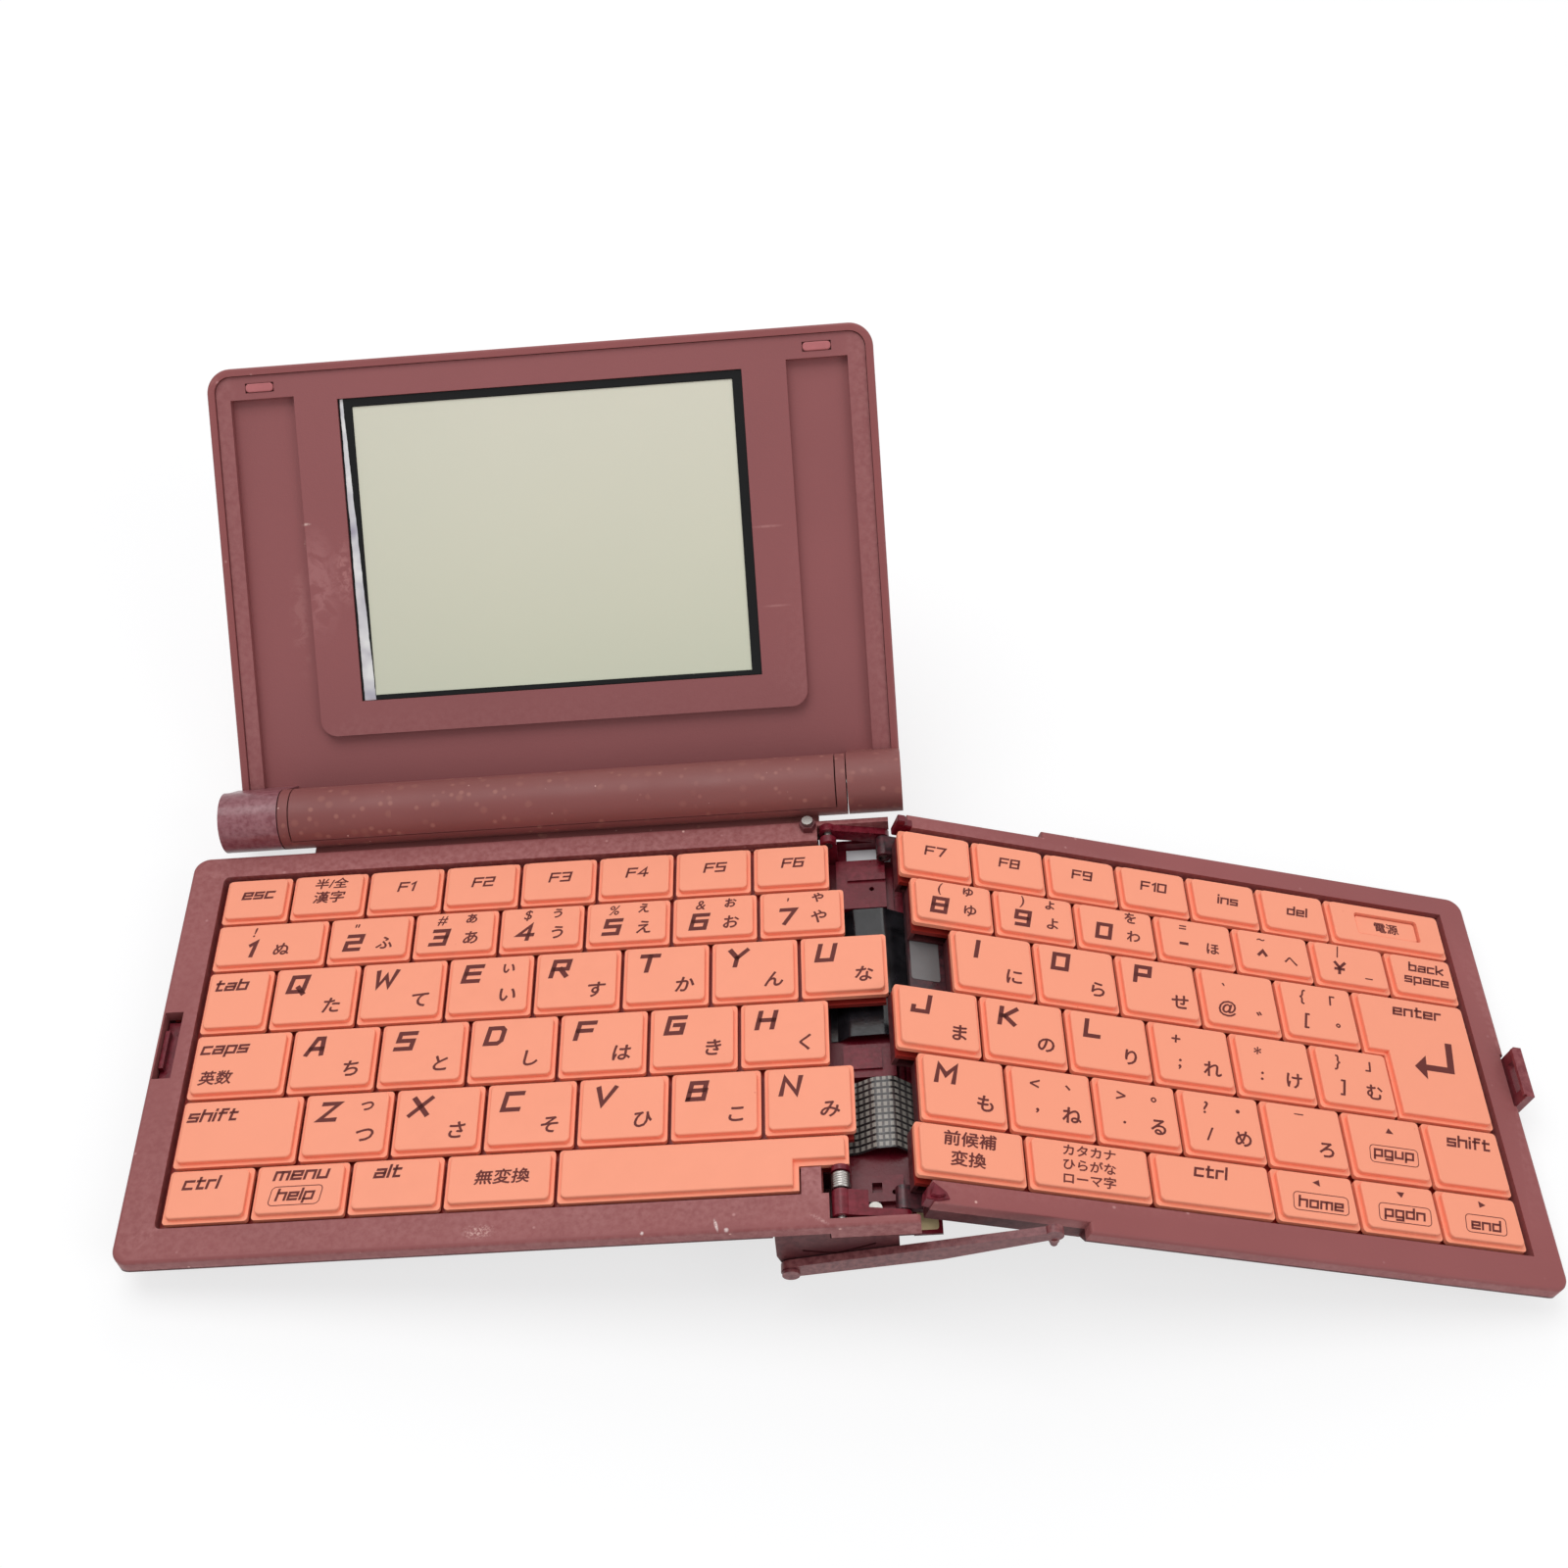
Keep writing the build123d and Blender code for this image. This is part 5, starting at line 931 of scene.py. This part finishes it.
def bright_to_camera(tree, dim, shown):
    """Mix of two shaders: one lights the object, the other is what the camera and mirrors see."""
    path = tree.nodes.new("ShaderNodeLightPath")
    first = tree.nodes.new("ShaderNodeMath")
    first.operation = "MAXIMUM"
    tree.links.new(path.outputs["Is Camera Ray"], first.inputs[0])
    tree.links.new(path.outputs["Is Glossy Ray"], first.inputs[1])
    second = tree.nodes.new("ShaderNodeMath")
    second.operation = "MAXIMUM"
    tree.links.new(first.outputs["Value"], second.inputs[0])
    tree.links.new(path.outputs["Is Transmission Ray"], second.inputs[1])
    mixer = tree.nodes.new("ShaderNodeMixShader")
    tree.links.new(second.outputs["Value"], mixer.inputs["Fac"])
    tree.links.new(dim, mixer.inputs[1])
    tree.links.new(shown, mixer.inputs[2])
    return mixer.outputs["Shader"]


world = bpy.data.worlds.new("studio")
bpy.context.scene.world = world
world.use_nodes = True
tree = world.node_tree
tree.nodes.clear()
ambient = tree.nodes.new("ShaderNodeBackground")
ambient.inputs["Color"].default_value = (0.95, 0.97, 1.0, 1.0)
ambient.inputs["Strength"].default_value = AMBIENT_STRENGTH
white = tree.nodes.new("ShaderNodeBackground")
white.inputs["Color"].default_value = (1, 1, 1, 1)
white.inputs["Strength"].default_value = 1.0
out = tree.nodes.new("ShaderNodeOutputWorld")
tree.links.new(bright_to_camera(tree, ambient.outputs[0], white.outputs[0]), out.inputs["Surface"])

floor_mesh = bpy.data.meshes.new("floor")
floor_corners = [(x * FLOOR_REACH, y * FLOOR_REACH, 0) for x, y in ((-1, -1), (1, -1), (1, 1), (-1, 1))]
floor_mesh.from_pydata(floor_corners, [], [(0, 1, 2, 3)])
floor = bpy.data.objects.new("floor", floor_mesh)
bpy.context.scene.collection.objects.link(floor)
floor.location.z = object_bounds()[0].z - FLOOR_DROP
floor_material = bpy.data.materials.new("floor_pale")
floor_material.use_nodes = True
tree = floor_material.node_tree
tree.nodes.clear()
matt = tree.nodes.new("ShaderNodeBsdfDiffuse")
matt.inputs["Color"].default_value = (0.9, 0.9, 0.9, 1)
glow = tree.nodes.new("ShaderNodeEmission")
glow.inputs["Color"].default_value = (1, 1, 1, 1)
glow.inputs["Strength"].default_value = FLOOR_GLOW
part_glow = tree.nodes.new("ShaderNodeMixShader")
part_glow.inputs["Fac"].default_value = FLOOR_GLOW_SHARE
tree.links.new(matt.outputs[0], part_glow.inputs[1])
tree.links.new(glow.outputs[0], part_glow.inputs[2])
out = tree.nodes.new("ShaderNodeOutputMaterial")
tree.links.new(bright_to_camera(tree, matt.outputs[0], part_glow.outputs[0]), out.inputs["Surface"])
floor_mesh.materials.append(floor_material)

camera_data = bpy.data.cameras.new("camera")
camera_data.sensor_width = CAMERA_SENSOR
camera_data.lens = CAMERA_LENS
camera = bpy.data.objects.new("camera", camera_data)
camera.location = CAMERA_PLACE
camera.rotation_euler = CAMERA_TURN
bpy.context.scene.collection.objects.link(camera)
bpy.context.scene.camera = camera
bpy.context.scene.view_settings.view_transform = "Standard"
